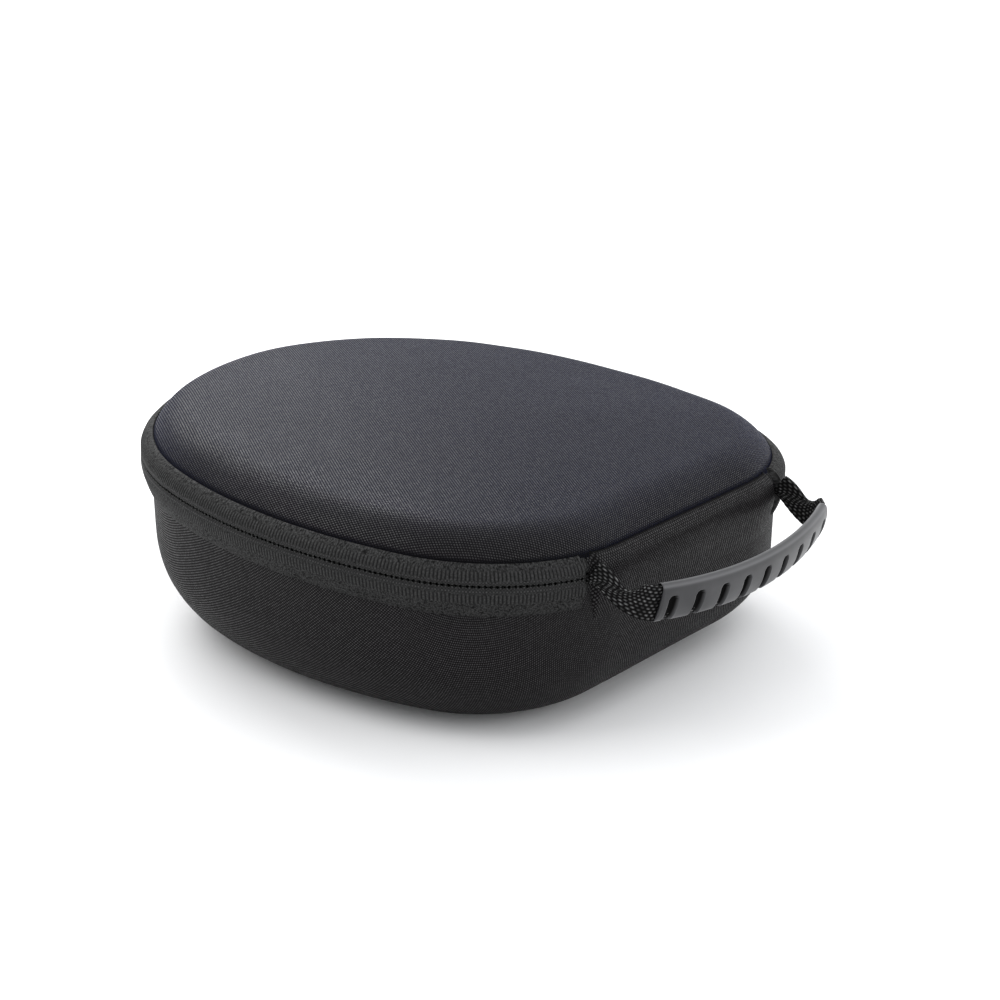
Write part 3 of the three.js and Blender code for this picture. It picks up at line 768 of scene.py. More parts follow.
def panel_piece(name, face, slack, across, along):
    """A strip across the fold, by its (inset, rise) section in millimetres. Slack is how far its
    creases stand out."""

    def place(u, v):
        q = (2 * u - 1) * panel_half
        inset, rise = smooth_line(face, v) * MM
        inset += TUCK_DEPTH * ease((abs(q) - panel_half + PANEL_TUCK) / (0.6 * PANEL_TUCK))
        flat, out = outline(across_run(q), inset)
        spot = leaned(flat.x, flat.y, ZIP_HEIGHT + rise)
        loose = slack * math.sin(math.pi * v) ** 2
        crease = noise.noise(Vector((q * 24, rise * 110, 4)))
        # Painted shade: the panel's top edge is darkened, in the groove under the lid.
        seam_shade = ease((rise - PANEL_SHADE_RISE) / PANEL_SHADE_WIDTH)
        return spot + loose * crease * Vector((out.x, out.y, 0)), (q, rise), seam_shade

    return laid_piece(name, across, along, place)


hinge_panel = panel_piece("hinge_fabric", PANEL_FACE, PANEL_SLACK, 150, 44)
thicken(hinge_panel, TAPE_THICK)
coat(hinge_panel, base_cloth)
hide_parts("hinge_panel")
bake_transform(hinge_panel)

# ---- handle webbing -------------------------------------------------------------------------------
# One strap of woven polypropylene webbing: its ends are sewn into the seam at the two ends of the
# zip, it turns towards the middle, and it runs through the grip.
STRAP_HALF = 6.5 * MM
STRAP_THICK = 1.8 * MM
HANDLE_DROOP = math.radians(16.5)
GRIP_HALF = 51.3 * MM
GRIP_OUT = 21.4 * MM
GRIP_BOW = 8.4 * MM
ROW_PITCH = 1.3 * MM
STITCH_LENGTH = 1.7 * MM
WEB_RELIEF = 0.26 * MM
LEG_STEPS = 60
LEG_LEAN = 1.25
ROOT_LEAN = 0.3
CREASE_RUN = 7.5 * MM
UNFOLD_RUN = 14 * MM
LEG_LEAD = 4.5 * MM
LEG_TRAIL = Vector((0.4, -13)) * MM
SEAM_SINK = 1.2 * MM

handle_joint = next(j for j in frame["joints"] if j["name"] == "handle_swing")
handle_frame = Matrix.Translation(Vector(handle_joint["pos_m"])) @ Matrix.Rotation(HANDLE_DROOP, 4, "X")

bow_radius = (GRIP_HALF**2 + GRIP_BOW**2) / (2 * GRIP_BOW)
bow_centre = Vector((0, bow_radius - GRIP_OUT - GRIP_BOW))
bow_angle = math.asin(GRIP_HALF / bow_radius)
bow_run = bow_radius * bow_angle

# The leg from the grip's end to the seam is a curve that leaves along the grip and arrives square.
leg_start = Vector((GRIP_HALF, -GRIP_OUT))
leg_lead = leg_start + LEG_LEAD * Vector((math.cos(bow_angle), math.sin(bow_angle)))
leg_end = Vector((STRAP_X, SEAM_SINK))
leg_trail = leg_end + LEG_TRAIL


def leg_point(t):
    """The point at a share t of the way along the leg's curve."""
    s = 1 - t
    return s**3 * leg_start + 3 * s * s * t * leg_lead + 3 * s * t * t * leg_trail + t**3 * leg_end


leg_points = [leg_point(k / LEG_STEPS) for k in range(LEG_STEPS + 1)]
leg_runs = [0]
for here, there in zip(leg_points, leg_points[1:]):
    leg_runs.append(leg_runs[-1] + (there - here).length)
strap_reach = bow_run + leg_runs[-1]


def strap_line(run):
    """The point of the strap's middle line at a distance from its middle, and its outward side."""
    side = math.copysign(1, run)
    run = abs(run)
    if run <= bow_run:
        angle = run / bow_radius
        out = Vector((math.sin(angle), -math.cos(angle)))
        spot = bow_centre + bow_radius * out
    else:
        at = next((k for k, far in enumerate(leg_runs) if far >= run - bow_run), LEG_STEPS)
        at = max(at, 1)
        share = (run - bow_run - leg_runs[at - 1]) / (leg_runs[at] - leg_runs[at - 1])
        spot = leg_points[at - 1].lerp(leg_points[at], min(share, 1))
        ahead = leg_points[min(at + 2, LEG_STEPS)] - leg_points[max(at - 3, 0)]
        out = Vector((ahead.y, -ahead.x)).normalized()
    return Vector((side * spot.x, spot.y)), Vector((side * out.x, out.y))


def round_band(walk, width, thick):
    """The point of a flat band's section at a distance round it from a corner, across its width and
    its thickness from their middles, and the way its face looks there."""
    if walk < width:
        return walk - width / 2, thick / 2, (0, 1)
    if walk < width + thick:
        return width / 2, thick / 2 - (walk - width), (1, 0)
    if walk < 2 * width + thick:
        return width / 2 - (walk - width - thick), -thick / 2, (0, -1)
    return -width / 2, walk - 2 * width - 1.5 * thick, (-1, 0)


def webbing_piece(name, first, last, step):
    """A length of the strap between two runs: a flat tube with the relief of its weave. Between the
    grip and the seam it folds over, its top edge outwards."""
    around = 2 * (2 * STRAP_HALF + STRAP_THICK)
    along = round((last - first) / step)

    def place(u, v):
        run = first + (last - first) * u
        walk = v * around
        up, out, facing = round_band(walk, 2 * STRAP_HALF, STRAP_THICK)
        row = math.floor(walk / ROW_PITCH)
        inside = math.sin(math.pi * (walk / ROW_PITCH - row))
        count = run / STITCH_LENGTH + 0.5 * (row % 2)
        bump = inside**0.6 * abs(math.sin(math.pi * count)) ** 0.5
        lift = WEB_RELIEF * (bump - 0.6)
        spot, side = strap_line(run)
        spot = spot + side * (out + facing[1] * lift)
        up += facing[0] * lift
        left = strap_reach - abs(run)
        fold = ROOT_LEAN + (1 - ROOT_LEAN) * ease(left / CREASE_RUN)
        lean = LEG_LEAN * fold * ease(1 - (left - CREASE_RUN) / UNFOLD_RUN)
        spot.y -= up * math.sin(lean)
        return handle_frame @ Vector((spot.x, spot.y, up * math.cos(lean))), (run, walk)

    return laid_piece(name, along, round(around / step), place, capped=True)


def webbing_cloth(name):
    """Polypropylene webbing: chunky ribs of black yarn, each stitch's crown painted pale as a highlight
    and glossy.
    """
    material, tree, surface = new_material(name, 0.8, specular_ior_level=0.05, coat_roughness=0.35)
    cloth, at = cloth_place(tree)
    rows = calc(tree, "DIVIDE", at["Y"], ROW_PITCH)
    odd = calc(tree, "MULTIPLY", calc(tree, "FLOORED_MODULO", calc(tree, "FLOOR", rows), 2.0), 0.5)
    count = calc(tree, "ADD", calc(tree, "DIVIDE", at["X"], STITCH_LENGTH), odd)
    humps = [
        calc(tree, "ABSOLUTE", calc(tree, "SINE", calc(tree, "MULTIPLY", turn, math.pi)))
        for turn in (rows, count)
    ]
    yarn = mottle(tree, cloth, 2200.0, 2.0)
    place = add_node(
        tree, "ShaderNodeCombineXYZ", {0: calc(tree, "FLOOR", count), 1: calc(tree, "FLOOR", rows)}
    )
    luck = add_node(tree, "ShaderNodeTexWhiteNoise", {0: place.outputs[0]}).outputs[0]
    crown_highlight = calc(tree, "POWER", calc(tree, "MULTIPLY", *humps), 3.0)
    lit = calc(tree, "MULTIPLY", crown_highlight, calc(tree, "MULTIPLY_ADD", luck, 0.9, 0.25))
    lit = calc(tree, "MULTIPLY", lit, calc(tree, "MULTIPLY_ADD", yarn, 2.0, -0.1), clamp=True)
    # Painted highlight: the stitches' crowns are coloured pale over the black yarn.
    shade = shaded(tree, lit, WEB_DARK, WEB_CROWN_HIGHLIGHT)
    tree.links.new(shade, surface.inputs["Base Color"])
    tree.links.new(calc(tree, "MULTIPLY", lit, 0.7), surface.inputs["Coat Weight"])
    relief(tree, surface, yarn, 0.5, 0.2 * MM)
    return material


WEB_DARK = (0.003, 0.003, 0.003, 1)
# The pale colour is a painted highlight on the stitch crowns.
WEB_CROWN_HIGHLIGHT = (0.13, 0.13, 0.13, 1)
WEB_STEP = 0.3 * MM
INTO_GRIP = 4 * MM
SIDES = (("left", -1), ("right", 1))
webbing = webbing_cloth("webbing")
inside_grip = bow_run - INTO_GRIP
for name, side in SIDES:
    ends = sorted((side * inside_grip, side * strap_reach))
    leg = webbing_piece("webbing_" + name, *ends, WEB_STEP)
    coat(leg, webbing)
    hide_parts("strap_end_" + name)
    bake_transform(leg)
strap_middle = webbing_piece("webbing_middle", -inside_grip, inside_grip, 2 * WEB_STEP)
coat(strap_middle, webbing)
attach(strap_middle, "handle")
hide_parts("handle_strap")

# ---- handle grip ------------------------------------------------------------------------------------
# A sleeve of moulded rubber over the webbing, flat behind and rounded in front, with nine slots
# that start below its top edge and run round its lower one.
GRIP_SECTION = [
    (-1.9, -5.5), (-1.3, -6.9), (0.2, -7.4), (1.6, -6.6), (2.5, -4.6), (3, -1.5), (3, 1.5), (2.6, 4.4),
    (1.7, 6.6), (0.5, 7.4), (-0.6, 7.3), (-1.4, 6.6), (-1.9, 4.5), (-1.9, 0),
]
GRIP_MOUTH = [
    (-1.3, -5.4), (-1.2, -6.6), (0.1, -7), (1.2, -6.4), (1.3, -4.6), (1.3, -1.5), (1.3, 1.5), (1.3, 4.4),
    (1.2, 6.4), (0.4, 7), (-0.5, 7), (-1.2, 6.4), (-1.3, 4.5), (-1.3, 0),
]
GRIP_SLOTS = 9
SLOT_PITCH = 11.8 * MM
SLOT_HALF = 1.8 * MM
SLOT_TOP = 3.6 * MM
SLOT_DEPTH = 1.5 * MM
SLOT_EDGE = 0.4 * MM
SLOT_SIDE = 0.2 * MM
GRIP_STEP = 0.38 * MM
MOUTH_DEPTH = 4 * MM
MOUTH_EDGE = 0.9 * MM
LIP_ROUND = 0.5 * MM
GRIP_SHORT = 0.6 * MM
SLOT_AIM = 1 * MM
SLOT_FLATNESS = 0.35
RIM_HEIGHT = 6.9 * MM
RIM_BAND = 0.45 * MM
RIM_GLEAM = 0.6


def round_line(points, share):
    """The point at a share of the way round a smooth closed curve through points."""
    count = len(points)
    at = int(share * count)
    near = (Vector(points[(at + k) % count]) for k in (-1, 0, 1, 2))
    return between(*near, share * count - at)


def slot_depth(run, out, up):
    """How far a slot sinks the grip's face at a place on it. The back has no slots."""
    if out < SLOT_SIDE:
        return 0
    nearest = round(run / SLOT_PITCH)
    if abs(nearest) > (GRIP_SLOTS - 1) / 2:
        return 0
    aside = abs(run - nearest * SLOT_PITCH)
    above = max(up - (SLOT_TOP - SLOT_HALF), 0)
    room = SLOT_HALF - math.hypot(aside, above)
    return SLOT_DEPTH * ease(room / SLOT_EDGE + 0.5)


def make_grip():
    """The sleeve: its section along the bow, with a rounded lip at each end that turns back into the
    mouth. Its cloth values are painted shade in the slots, by how deep a point lies in one, and a
    painted highlight along its rims."""
    half = bow_run - GRIP_SHORT
    walk = half + MOUTH_EDGE + MOUTH_DEPTH
    along = round(2 * walk / GRIP_STEP)

    def place(u, v):
        run = (2 * u - 1) * walk
        beyond = abs(run) - half
        outer = round_line(GRIP_SECTION, v) * MM
        mouth = round_line(GRIP_MOUTH, v) * MM
        if beyond > MOUTH_EDGE:
            face, at = mouth, half - (beyond - MOUTH_EDGE)
        elif beyond > 0:
            turn = beyond / MOUTH_EDGE * math.pi / 2
            face = outer.lerp(mouth, 1 - math.cos(turn))
            at = half + LIP_ROUND * math.sin(2 * turn)
        else:
            sink = slot_depth(run, outer.x, outer.y)
            inward = Vector((outer.x + SLOT_AIM, outer.y * SLOT_FLATNESS)).normalized()
            face, at = outer - inward * sink, abs(run)
        angle = math.copysign(at, run) / bow_radius
        reach = bow_radius + face.x
        spot = bow_centre + reach * Vector((math.sin(angle), -math.cos(angle)))
        # Painted shade mask: the slots' colour goes to near black as they deepen.
        depth = ease(5 * slot_depth(run, outer.x, outer.y) / SLOT_DEPTH) if beyond < 0 else 0
        # Painted highlight mask: a pale band along the top and bottom rims, none in the slots.
        rim = RIM_GLEAM * math.exp(-(((abs(face.y) - RIM_HEIGHT) / RIM_BAND) ** 2))
        return handle_frame @ Vector((spot.x, spot.y, face.y)), (depth, rim * (1 - depth))

    return laid_piece("grip", along, 120, place)


def make_grain():
    """Fine moulded grain with a slight satin unevenness."""
    group, start, end = new_group(
        "moulded_grain",
        {"Place": "NodeSocketVector", "Scale": "NodeSocketFloat"},
        {"Height": "NodeSocketFloat", "Cloud": "NodeSocketFloat"},
    )
    fine = mottle(group, start.outputs["Place"], start.outputs["Scale"], 5.0)
    cloud = mottle(group, start.outputs["Place"], 60.0, 3.0)
    group.links.new(fine, end.inputs["Height"])
    group.links.new(cloud, end.inputs["Cloud"])
    return group


grain_group = make_grain()


def satin_rubber(name, dark, light, slots):
    """Satin rubber. The grip's has painted shade in its slots, near the black of the webbing, and a
    painted highlight along its rims."""
    material, tree, surface = new_material(name, 0.6, specular_ior_level=0.05, coat_roughness=0.3)
    grain = place_group(tree, grain_group, Place=object_place(tree), Scale=900.0)
    shade = shaded(tree, grain.outputs["Cloud"], dark, light)
    shine = calc(tree, "MULTIPLY_ADD", grain.outputs["Cloud"], 0.7, 0.45)
    if slots:
        _, at = cloth_place(tree)
        # Painted shade, near black, in the slots.
        shade = shaded(tree, at["X"], shade, SLOT_SHADE)
        # Painted highlight: a pale band along the rims.
        shade = shaded(tree, at["Y"], shade, RIM_HIGHLIGHT)
        shine = calc(tree, "MULTIPLY", shine, calc(tree, "SUBTRACT", 1.0, at["X"]))
    tree.links.new(shade, surface.inputs["Base Color"])
    tree.links.new(shine, surface.inputs["Coat Weight"])
    rough = calc(tree, "MULTIPLY_ADD", grain.outputs["Cloud"], 0.3, 0.45)
    tree.links.new(rough, surface.inputs["Roughness"])
    relief(tree, surface, grain.outputs["Height"], 0.25, 0.1 * MM)
    return material


# Painted shade for the slots.
SLOT_SHADE = (0.001, 0.001, 0.001, 1)
# Painted highlight for the rims.
RIM_HIGHLIGHT = (0.12, 0.12, 0.125, 1)
grip_rubber = satin_rubber(
    "grip_rubber", (0.011, 0.011, 0.0125, 1), (0.023, 0.023, 0.026, 1), slots=True
)
grip = make_grip()
coat(grip, grip_rubber)
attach(grip, "handle")
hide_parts("handle_grip")

# ---- linings ------------------------------------------------------------------------------------
# Brushed tricot, a fine warp knit with a short nap. It is glued to the inside of the foam in base
# and lid as they are pressed.
LINING_DEPTH = 5.75 * MM
LINING_THICK = 0.7 * MM


def brushed_cloth(name, dark, light):
    """Brushed knit: a short matt nap in uneven patches, over fine wales."""
    material, tree, surface = new_material(
        name, 0.95, sheen_weight=0.35, sheen_roughness=0.6, specular_ior_level=0.15
    )
    spot = object_place(tree)
    nap = add_node(
        tree, "ShaderNodeTexNoise", {"Vector": spot, "Scale": 120.0, "Detail": 6.0, "Roughness": 0.7}
    )
    wales = mottle(tree, spot, 1300.0, 2.0)
    tuft = calc(tree, "MULTIPLY", nap.outputs[0], calc(tree, "ADD", wales, 0.5))
    shade = shaded(tree, tuft, dark, light)
    tree.links.new(dusted(tree, shade, 1.0), surface.inputs["Base Color"])
    relief(tree, surface, tuft, 0.5, 0.3 * MM)
    return material


tricot = brushed_cloth("brushed_tricot", (0.006, 0.006, 0.007, 1), (0.04, 0.04, 0.045, 1))
base_lining = base_layer("base_tricot", LINING_DEPTH, ZIP_HEIGHT - RIM_DROP, 150, 34)
lid_lining = lid_layer("lid_tricot", LINING_DEPTH, ZIP_HEIGHT + RIM_DROP, 150, 36)
for lining, body in ((base_lining, "base"), (lid_lining, "lid")):
    thicken(lining, LINING_THICK)
    coat(lining, tricot)
    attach(lining, body)
    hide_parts(body + "_lining")

# ---- foam shells -----------------------------------------------------------------------------------
# Pressed EVA foam between cover and lining, one shell for the base and one for the lid: fine closed
# cells under a dull skin. Cloth and foam are stuck together in the press.


def pressed_foam(name):
    """Black foam with pale cell walls."""
    material, tree, surface = new_material(name, 0.9, specular_ior_level=0.2)
    texture = {"Vector": object_place(tree), "Scale": 1400.0}
    cells = add_node(tree, "ShaderNodeTexVoronoi", texture).outputs["Distance"]
    shade = shaded(tree, cells, (0.012, 0.012, 0.013, 1), (0.03, 0.03, 0.032, 1))
    tree.links.new(shade, surface.inputs["Base Color"])
    relief(tree, surface, cells, 0.6, 0.2 * MM)
    return material


foam = pressed_foam("pressed_foam")
for body in ("base", "lid"):
    shell = frame["nodes"][body + "_foam_shell"]
    for place_slot in shell.material_slots:
        place_slot.material = foam

# ---- rim bindings ------------------------------------------------------------------------------------
# A folded ribbon sewn over the rims of foam and lining, all round base and lid. Its stitches pull it
# in a little on both faces.
BINDING_SECTION = [
    (5.4, -4.1), (5.3, -2.2), (5.5, -1), (6.4, -0.65), (7.6, -0.6), (8.8, -0.65), (9.7, -1), (9.95, -2.2),
    (9.8, -4.1), (8.6, -3.9), (6.6, -3.9),
]
BINDING_STITCH = 3.2 * MM
BINDING_MIDDLE = 7.6 * MM
BINDING_ROUND = 14 * MM
SEAM_DROP = 2.8 * MM
SEAM_SPREAD = 0.5 * MM


def binding_piece(name, side):
    """A binding on the rim below the zip or on the rim above it."""

    def place(u, v):
        run = (2 * u - 1) * HALF_RUN
        inset, rise = round_line(BINDING_SECTION, v) * MM
        pulled = abs(math.sin(math.pi * run / BINDING_STITCH))
        sewn = math.exp(-(((abs(rise) - SEAM_DROP) / SEAM_SPREAD) ** 2))
        toward = 1 if inset < BINDING_MIDDLE else -1
        inset += toward * sewn * (0.12 + 0.1 * pulled) * MM
        flat, out = outline(run, inset)
        return leaned(flat.x, flat.y, ZIP_HEIGHT - side * rise), (run, v * BINDING_ROUND)

    return laid_piece(name, 700, 26, place)


ribbon = brushed_cloth("binding_ribbon", (0.005, 0.005, 0.005, 1), (0.03, 0.03, 0.032, 1))
for side, body in ((1, "base"), (-1, "lid")):
    binding = binding_piece(body + "_binding", side)
    coat(binding, ribbon)
    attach(binding, body)
    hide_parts(body + "_rim_binding")

# ---- hinge lining -------------------------------------------------------------------------------------
# A strip of the lining cloth that covers the inside of the fold, sewn in with the panel at both of
# its long edges.
STRIP_FACE = [(2.7, -4.1), (2.72, -2), (2.7, 0), (2.72, 2), (2.7, 4.1)]
STRIP_SLACK = 0.15 * MM

hinge_lining = panel_piece("hinge_tricot", STRIP_FACE, STRIP_SLACK, 120, 16)
thicken(hinge_lining, LINING_THICK)
coat(hinge_lining, tricot)
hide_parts("hinge_lining")
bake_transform(hinge_lining)

# ---- zip sliders ----------------------------------------------------------------------------------
# Two die-cast sliders in black lacquer meet at the middle of the round end. Each has a front plate
# with a bridge for the pull, a narrower plate behind the tapes, and the post between the coils.
SLIDER_LENGTH = 12 * MM
SLIDER_WIDTH = 8 * MM
BACK_WIDTH = 0.8 * SLIDER_WIDTH
FRONT_FOOT = END_RADIUS + 0.35 * MM
FRONT_THICK = 1.2 * MM
BACK_FACE = END_RADIUS - 4.85 * MM
BACK_THICK = 0.6 * MM
POST_LENGTH = 5.4 * MM
POST_THICK = 0.5 * MM
POST_SINK = 0.1 * MM
SLIDER_APART = 3.2 * MM
SLIDER_EDGE = 0.22 * MM
BRIDGE_LENGTH = 9 * MM
BRIDGE_WIDTH = 1.6 * MM
BRIDGE_OPENING = 2.4 * MM
BRIDGE_BAR = 1.2 * MM
BRIDGE_CORNER = 1.4 * MM
BRIDGE_ROOM = 0.6 * MM
BRIDGE_LEG = 1.5 * MM
BRIDGE_SINK = 0.2 * MM
front_face = FRONT_FOOT + FRONT_THICK
bar_axis = front_face + BRIDGE_OPENING + BRIDGE_BAR / 2
zip_plane = Matrix.Translation(
    Vector((0, END_CENTRE.y, ZIP_HEIGHT + ZIP_LEAN * END_CENTRE.y))
) @ Matrix.Rotation(math.atan(ZIP_LEAN), 4, "X")


def slider_frame(side):
    """The place of one slider: x along the zip, y outwards from the round end's centre, z up."""
    turn = -side * (SLIDER_LENGTH + SLIDER_APART) / 2 / END_RADIUS
    return zip_plane @ Matrix.Rotation(turn, 4, "Z")


def arc_points(centre, radius, first, last, count):
    """Points round an arc, from one angle to another in degrees."""
    turns = [math.radians(first + (last - first) * k / count) for k in range(count + 1)]
    return [(centre[0] + radius * math.cos(t), centre[1] + radius * math.sin(t)) for t in turns]


def add_plate(bm, outlines, thick, turn=None, lift=0):
    """A plate cut to an outline, with its holes' outlines after it, that stands on y = lift."""
    edges = []
    for line in outlines:
        verts = [bm.verts.new((x, lift, z)) for x, z in line]
        edges += [bm.edges.new(pair) for pair in zip(verts, verts[1:] + verts[:1])]
    cut = bmesh.ops.triangle_fill(bm, use_beauty=True, edges=edges)
    faces = [part for part in cut["geom"] if isinstance(part, bmesh.types.BMFace)]
    grown = bmesh.ops.extrude_face_region(bm, geom=faces)["geom"]
    grown = [part for part in grown if isinstance(part, bmesh.types.BMVert)]
    bmesh.ops.translate(bm, verts=grown, vec=(0, thick, 0))
    if turn:
        both = {vert for face in faces for vert in face.verts}.union(grown)
        bmesh.ops.transform(bm, matrix=turn, verts=list(both))


def cast_piece(name, bm, edge, place):
    """Rounds the sharp edges of a cast or moulded piece and puts it in its place."""
    bmesh.ops.recalc_face_normals(bm, faces=bm.faces)
    sharp = [line for line in bm.edges if line.calc_face_angle(0) > 0.6]
    bmesh.ops.bevel(
        bm, geom=sharp, offset=edge, segments=3, affect="EDGES", profile=0.5, material=-1,
        clamp_overlap=True,
    )
    bmesh.ops.transform(bm, matrix=place, verts=bm.verts)
    return finished(name, bm, sharp=math.radians(50))


def slider_outline(width):
    """A slider plate: wide mouths at one end and narrow at the other, with rounded corners."""
    half = SLIDER_LENGTH / 2
    upper = [(-half, 0.3), (-half + 0.6 * MM, 0.36), (-half + 2 * MM, 0.42), (half - 2.5 * MM, 0.5)]
    upper += [(half - 0.7 * MM, 0.46), (half, 0.38)]
    return [(x, width * z) for x, z in upper] + [(x, -width * z) for x, z in reversed(upper)]


def bridge_outline():
    """The bridge from the side: a flat arch with rounded corners, over the link's opening."""
    half, rise, corner = BRIDGE_LENGTH / 2, BRIDGE_OPENING + BRIDGE_BAR, BRIDGE_CORNER
    inner, room = half - BRIDGE_LEG, BRIDGE_ROOM
    arch = [(half, -BRIDGE_SINK)]
    arch += arc_points((half - corner, rise - corner), corner, 0, 90, 5)
    arch += arc_points((corner - half, rise - corner), corner, 90, 180, 5)
    arch += [(-half, -BRIDGE_SINK), (-inner, -BRIDGE_SINK)]
    arch += arc_points((room - inner, BRIDGE_OPENING - room), room, 180, 90, 4)
    arch += arc_points((inner - room, BRIDGE_OPENING - room), room, 90, 0, 4)
    return arch + [(inner, -BRIDGE_SINK)]


def make_slider(name, side):
    """One slider: front plate, back plate, the post between them, and the bridge."""
    bm = bmesh.new()
    add_plate(bm, [slider_outline(SLIDER_WIDTH)], FRONT_THICK, lift=FRONT_FOOT)
    add_plate(bm, [slider_outline(BACK_WIDTH)], BACK_THICK, lift=BACK_FACE - BACK_THICK)
    length, thick = POST_LENGTH / 2, POST_THICK / 2
    post = [(-length, 0), (0, -thick), (length, 0), (0, thick)]
    add_plate(bm, [post], FRONT_FOOT - BACK_FACE + 2 * POST_SINK, lift=BACK_FACE - POST_SINK)
    flip = Matrix(((1, 0, 0, 0), (0, 0, 1, front_face), (0, 1, 0, -BRIDGE_WIDTH / 2), (0, 0, 0, 1)))
    add_plate(bm, [bridge_outline()], BRIDGE_WIDTH, turn=flip)
    return cast_piece(name, bm, SLIDER_EDGE, slider_frame(side))


def lacquered_metal(name):
    """Black lacquer over die-cast zinc: glossy, with fine rubbed scuffs."""
    material, tree, surface = new_material(name, 0.35, specular_ior_level=0.5, coat_roughness=0.15)
    grain = place_group(tree, grain_group, Place=object_place(tree), Scale=1600.0)
    worn = calc(tree, "MULTIPLY_ADD", grain.outputs["Height"], 6.0, -3.4, clamp=True)
    shade = shaded(tree, worn, (0.006, 0.006, 0.007, 1), (0.03, 0.03, 0.032, 1))
    tree.links.new(shade, surface.inputs["Base Color"])
    tree.links.new(calc(tree, "MULTIPLY_ADD", worn, 0.3, 0.28), surface.inputs["Roughness"])
    tree.links.new(calc(tree, "MULTIPLY_ADD", worn, -0.6, 0.8), surface.inputs["Coat Weight"])
    relief(tree, surface, grain.outputs["Height"], 0.1, 0.1 * MM)
    return material


lacquer = lacquered_metal("black_lacquer")
for name, side in SIDES:
    slider = make_slider("zip_slider_" + name, side)
    coat(slider, lacquer)
    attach(slider, "slider_" + name)
    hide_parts("slider_" + name)

# ---- pull links ---------------------------------------------------------------------------------------
# A long ring of lacquered wire that hangs from each slider's bridge and holds the tab. It is closed
# after both are threaded on.
LINK_RADIUS = 1.95 * MM
LINK_WIRE = 0.55 * MM
LINK_REACH = 6.5 * MM

link_line = arc_points((bar_axis, 0), LINK_RADIUS, 0, 180, 14)
link_line += arc_points((bar_axis, -LINK_REACH), LINK_RADIUS, 180, 360, 14)
for name, side in SIDES:
    link_points = [slider_frame(side) @ Vector((0, y, z)) for y, z in link_line]
    link = wire_piece("link_" + name, link_points, LINK_WIRE, closed=True, sides=3)
    coat(link, lacquer)
    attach(link, "pull_" + name)
    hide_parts("pull_link_" + name)

# ---- pull tabs ----------------------------------------------------------------------------------------
# Moulded rubber tabs with an eye for the link and raised bars for the fingers on both faces.
PULL_WIDTH = 7 * MM
PULL_LENGTH = 28 * MM
PULL_THICK = 2 * MM
PULL_EDGE = 0.3 * MM
EYE_ROUND = 0.72
PULL_BARS = 6
PULL_BAR_PITCH = 2.6 * MM
PULL_BAR_FOOT = 1.2 * MM
PULL_BAR_REACH = 1.7 * MM
PULL_BAR_ROUND = 0.6 * MM
PULL_BAR_RISE = 0.35 * MM
eye_rise = -LINK_REACH - LINK_RADIUS
tab_rubber = satin_rubber(
    "tab_rubber", (0.012, 0.012, 0.013, 1), (0.022, 0.022, 0.024, 1), slots=False
)


def make_tab(name, side):
    """One tab: a plate that widens to its foot, with its eye and its bars."""
    half = PULL_WIDTH / 2
    foot = eye_rise - PULL_LENGTH + half
    face = bar_axis - PULL_THICK / 2
    edge = arc_points((0, eye_rise), EYE_ROUND * half, 0, 180, 16)
    edge += arc_points((0, foot), half, 180, 360, 20)
    eye = arc_points((0, eye_rise), 2 * LINK_WIRE, 0, 345, 23)
    bm = bmesh.new()
    add_plate(bm, [edge, eye], PULL_THICK, lift=face)
    for k in range(PULL_BARS):
        middle = foot + PULL_BAR_FOOT + k * PULL_BAR_PITCH
        bar = arc_points((PULL_BAR_REACH, middle), PULL_BAR_ROUND, -90, 90, 8)
        bar += arc_points((-PULL_BAR_REACH, middle), PULL_BAR_ROUND, 90, 270, 8)
        add_plate(bm, [bar], PULL_THICK + 2 * PULL_BAR_RISE, lift=face - PULL_BAR_RISE)
    return cast_piece(name, bm, PULL_EDGE, slider_frame(side))


for name, side in SIDES:
    tab = make_tab("tab_" + name, side)
    coat(tab, tab_rubber)
    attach(tab, "pull_" + name)
    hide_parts("pull_tab_" + name)

# ---- mesh pocket ------------------------------------------------------------------------------------
# A net of warp-knit polyester across the lid's inside, sewn round the shoulder from the hinge side
# and open along a shirred elastic at its straight edge.
POCKET_RISE = 7.7 * MM
POCKET_INSET = 17.2 * MM
POCKET_EDGE = 32 * MM
POCKET_THICK = 0.5 * MM
POCKET_SAG = 1.4 * MM
GATHER_PITCH = 3.4 * MM
NET_GATHER = 0.35 * MM
NET_PITCH = 2.1 * MM
NET_OPEN = 0.48
pocket_foot = POCKET_INSET - BODY_HALF


def half_width(y, inset):
    """How far across the outline reaches at a distance along."""
    low, high = 0, CORNER_RUN
    for _ in range(40):
        run = (low + high) / 2
        if outline(run, inset)[0].y > y:
            low = run
        else:
            high = run
    return outline(low, inset)[0].x


def pocket_place(u, v):
    """A point of the net, from its sewn end to the elastic, and where it is on the flat net."""
    share = 1 - math.cos(v * math.pi / 2)
    y = pocket_foot + (POCKET_EDGE - pocket_foot) * share
    across = 2 * u - 1
    x = across * half_width(y, POCKET_INSET)
    spot = leaned(x, y, ZIP_HEIGHT + POCKET_RISE)
    gather = ease(share * 5 - 4)
    room = (1 - across**4) * math.sin(math.pi * min(share * 0.75, 1)) ** 0.7
    spot.z -= POCKET_SAG * room * (0.8 + 0.3 * noise.noise(spot * 26))
    spot.z += NET_GATHER * gather * math.sin(2 * math.pi * x / GATHER_PITCH)
    return spot, (x, y)


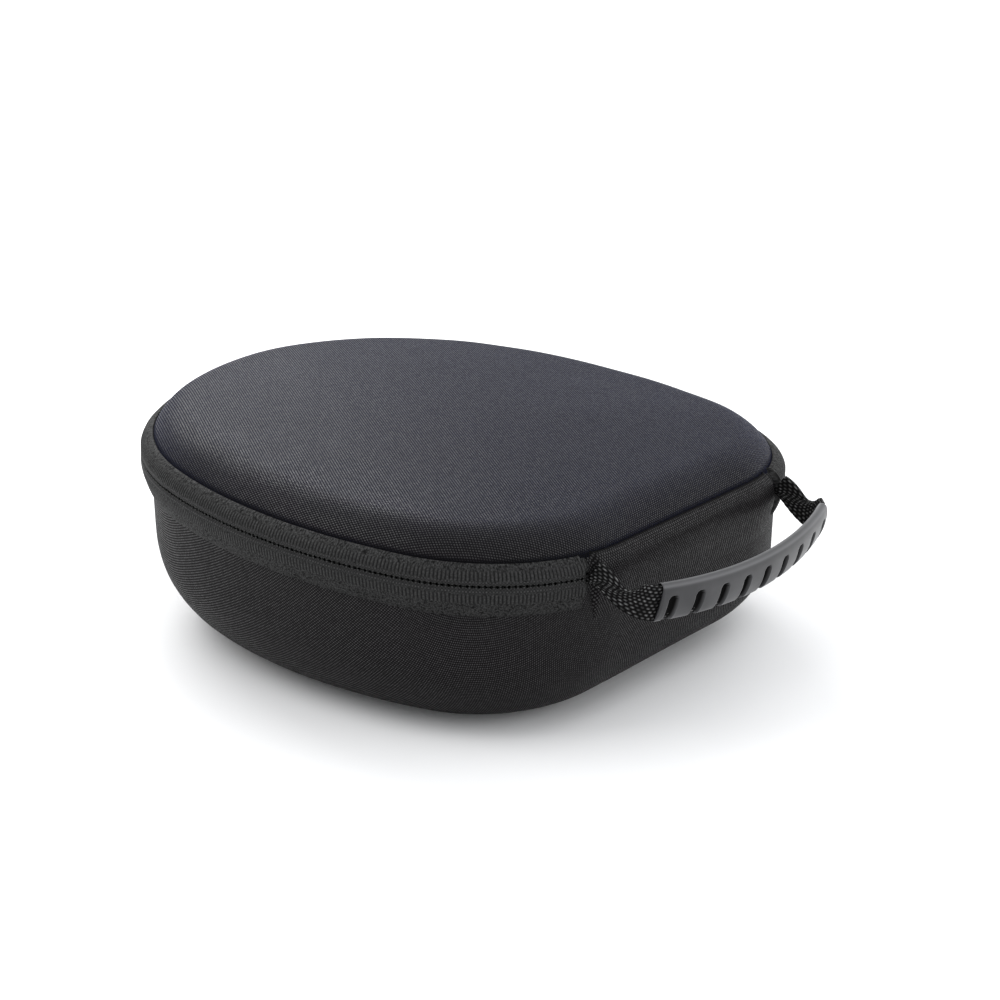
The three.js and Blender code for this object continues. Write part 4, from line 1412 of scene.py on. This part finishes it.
def open_net(name):
    """Warp-knit net: round holes in staggered rows between twisted threads."""
    material, tree, surface = new_material(name, 0.7, specular_ior_level=0.2, coat_roughness=0.4)
    cloth, at = cloth_place(tree)
    counts = [calc(tree, "MULTIPLY", at[axis], math.pi / NET_PITCH) for axis in ("X", "Y")]
    waves = [calc(tree, "COSINE", count) for count in counts]
    cell = calc(tree, "ABSOLUTE", calc(tree, "MULTIPLY", *waves))
    off = [calc(tree, "SINE", count) for count in counts]
    other = calc(tree, "ABSOLUTE", calc(tree, "MULTIPLY", *off))
    thread = calc(tree, "SUBTRACT", 1.0, calc(tree, "MAXIMUM", cell, other))
    tree.links.new(calc(tree, "GREATER_THAN", thread, NET_OPEN), surface.inputs["Alpha"])
    twist = mottle(tree, cloth, 2400.0, 2.0)
    shade = shaded(tree, twist, (0.006, 0.006, 0.006, 1), (0.05, 0.05, 0.052, 1))
    tree.links.new(shade, surface.inputs["Base Color"])
    tree.links.new(calc(tree, "MULTIPLY", twist, 0.5), surface.inputs["Coat Weight"])
    relief(tree, surface, twist, 0.6, 0.2 * MM)
    return material


pocket = laid_piece("pocket_net", 120, 90, pocket_place)
thicken(pocket, POCKET_THICK)
coat(pocket, open_net("pocket_net"))
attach(pocket, "lid")
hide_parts("mesh_pocket")


ELASTIC_WIDTH = 8 * MM
ELASTIC_THICK = 1.5 * MM
ELASTIC_RIBS = 6
ELASTIC_GATHER = 0.16 * MM
ELASTIC_ROOM = 0.1 * MM


def make_elastic():
    """The shirred band: ribbed along its length and gathered into small waves."""
    around = 2 * (ELASTIC_WIDTH + ELASTIC_THICK)

    def place(u, v):
        walk = v * around
        over, up, _ = round_band(walk, ELASTIC_WIDTH, ELASTIC_THICK)
        over += ELASTIC_WIDTH / 2
        y = POCKET_EDGE + ELASTIC_ROOM + over
        x = (2 * u - 1) * (half_width(y, POCKET_INSET) - ELASTIC_ROOM)
        rib = 0.5 + 0.5 * math.cos(2 * math.pi * over * ELASTIC_RIBS / ELASTIC_WIDTH)
        gather = ELASTIC_GATHER * math.sin(2 * math.pi * x / GATHER_PITCH)
        lift = up * (0.8 + 0.2 * rib) + gather
        return leaned(x, y, ZIP_HEIGHT + POCKET_RISE + lift), (x, walk)

    return laid_piece("pocket_band", 420, 48, place, capped=True)


elastic = make_elastic()
coat(elastic, ribbon)
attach(elastic, "lid")
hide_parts("pocket_elastic")
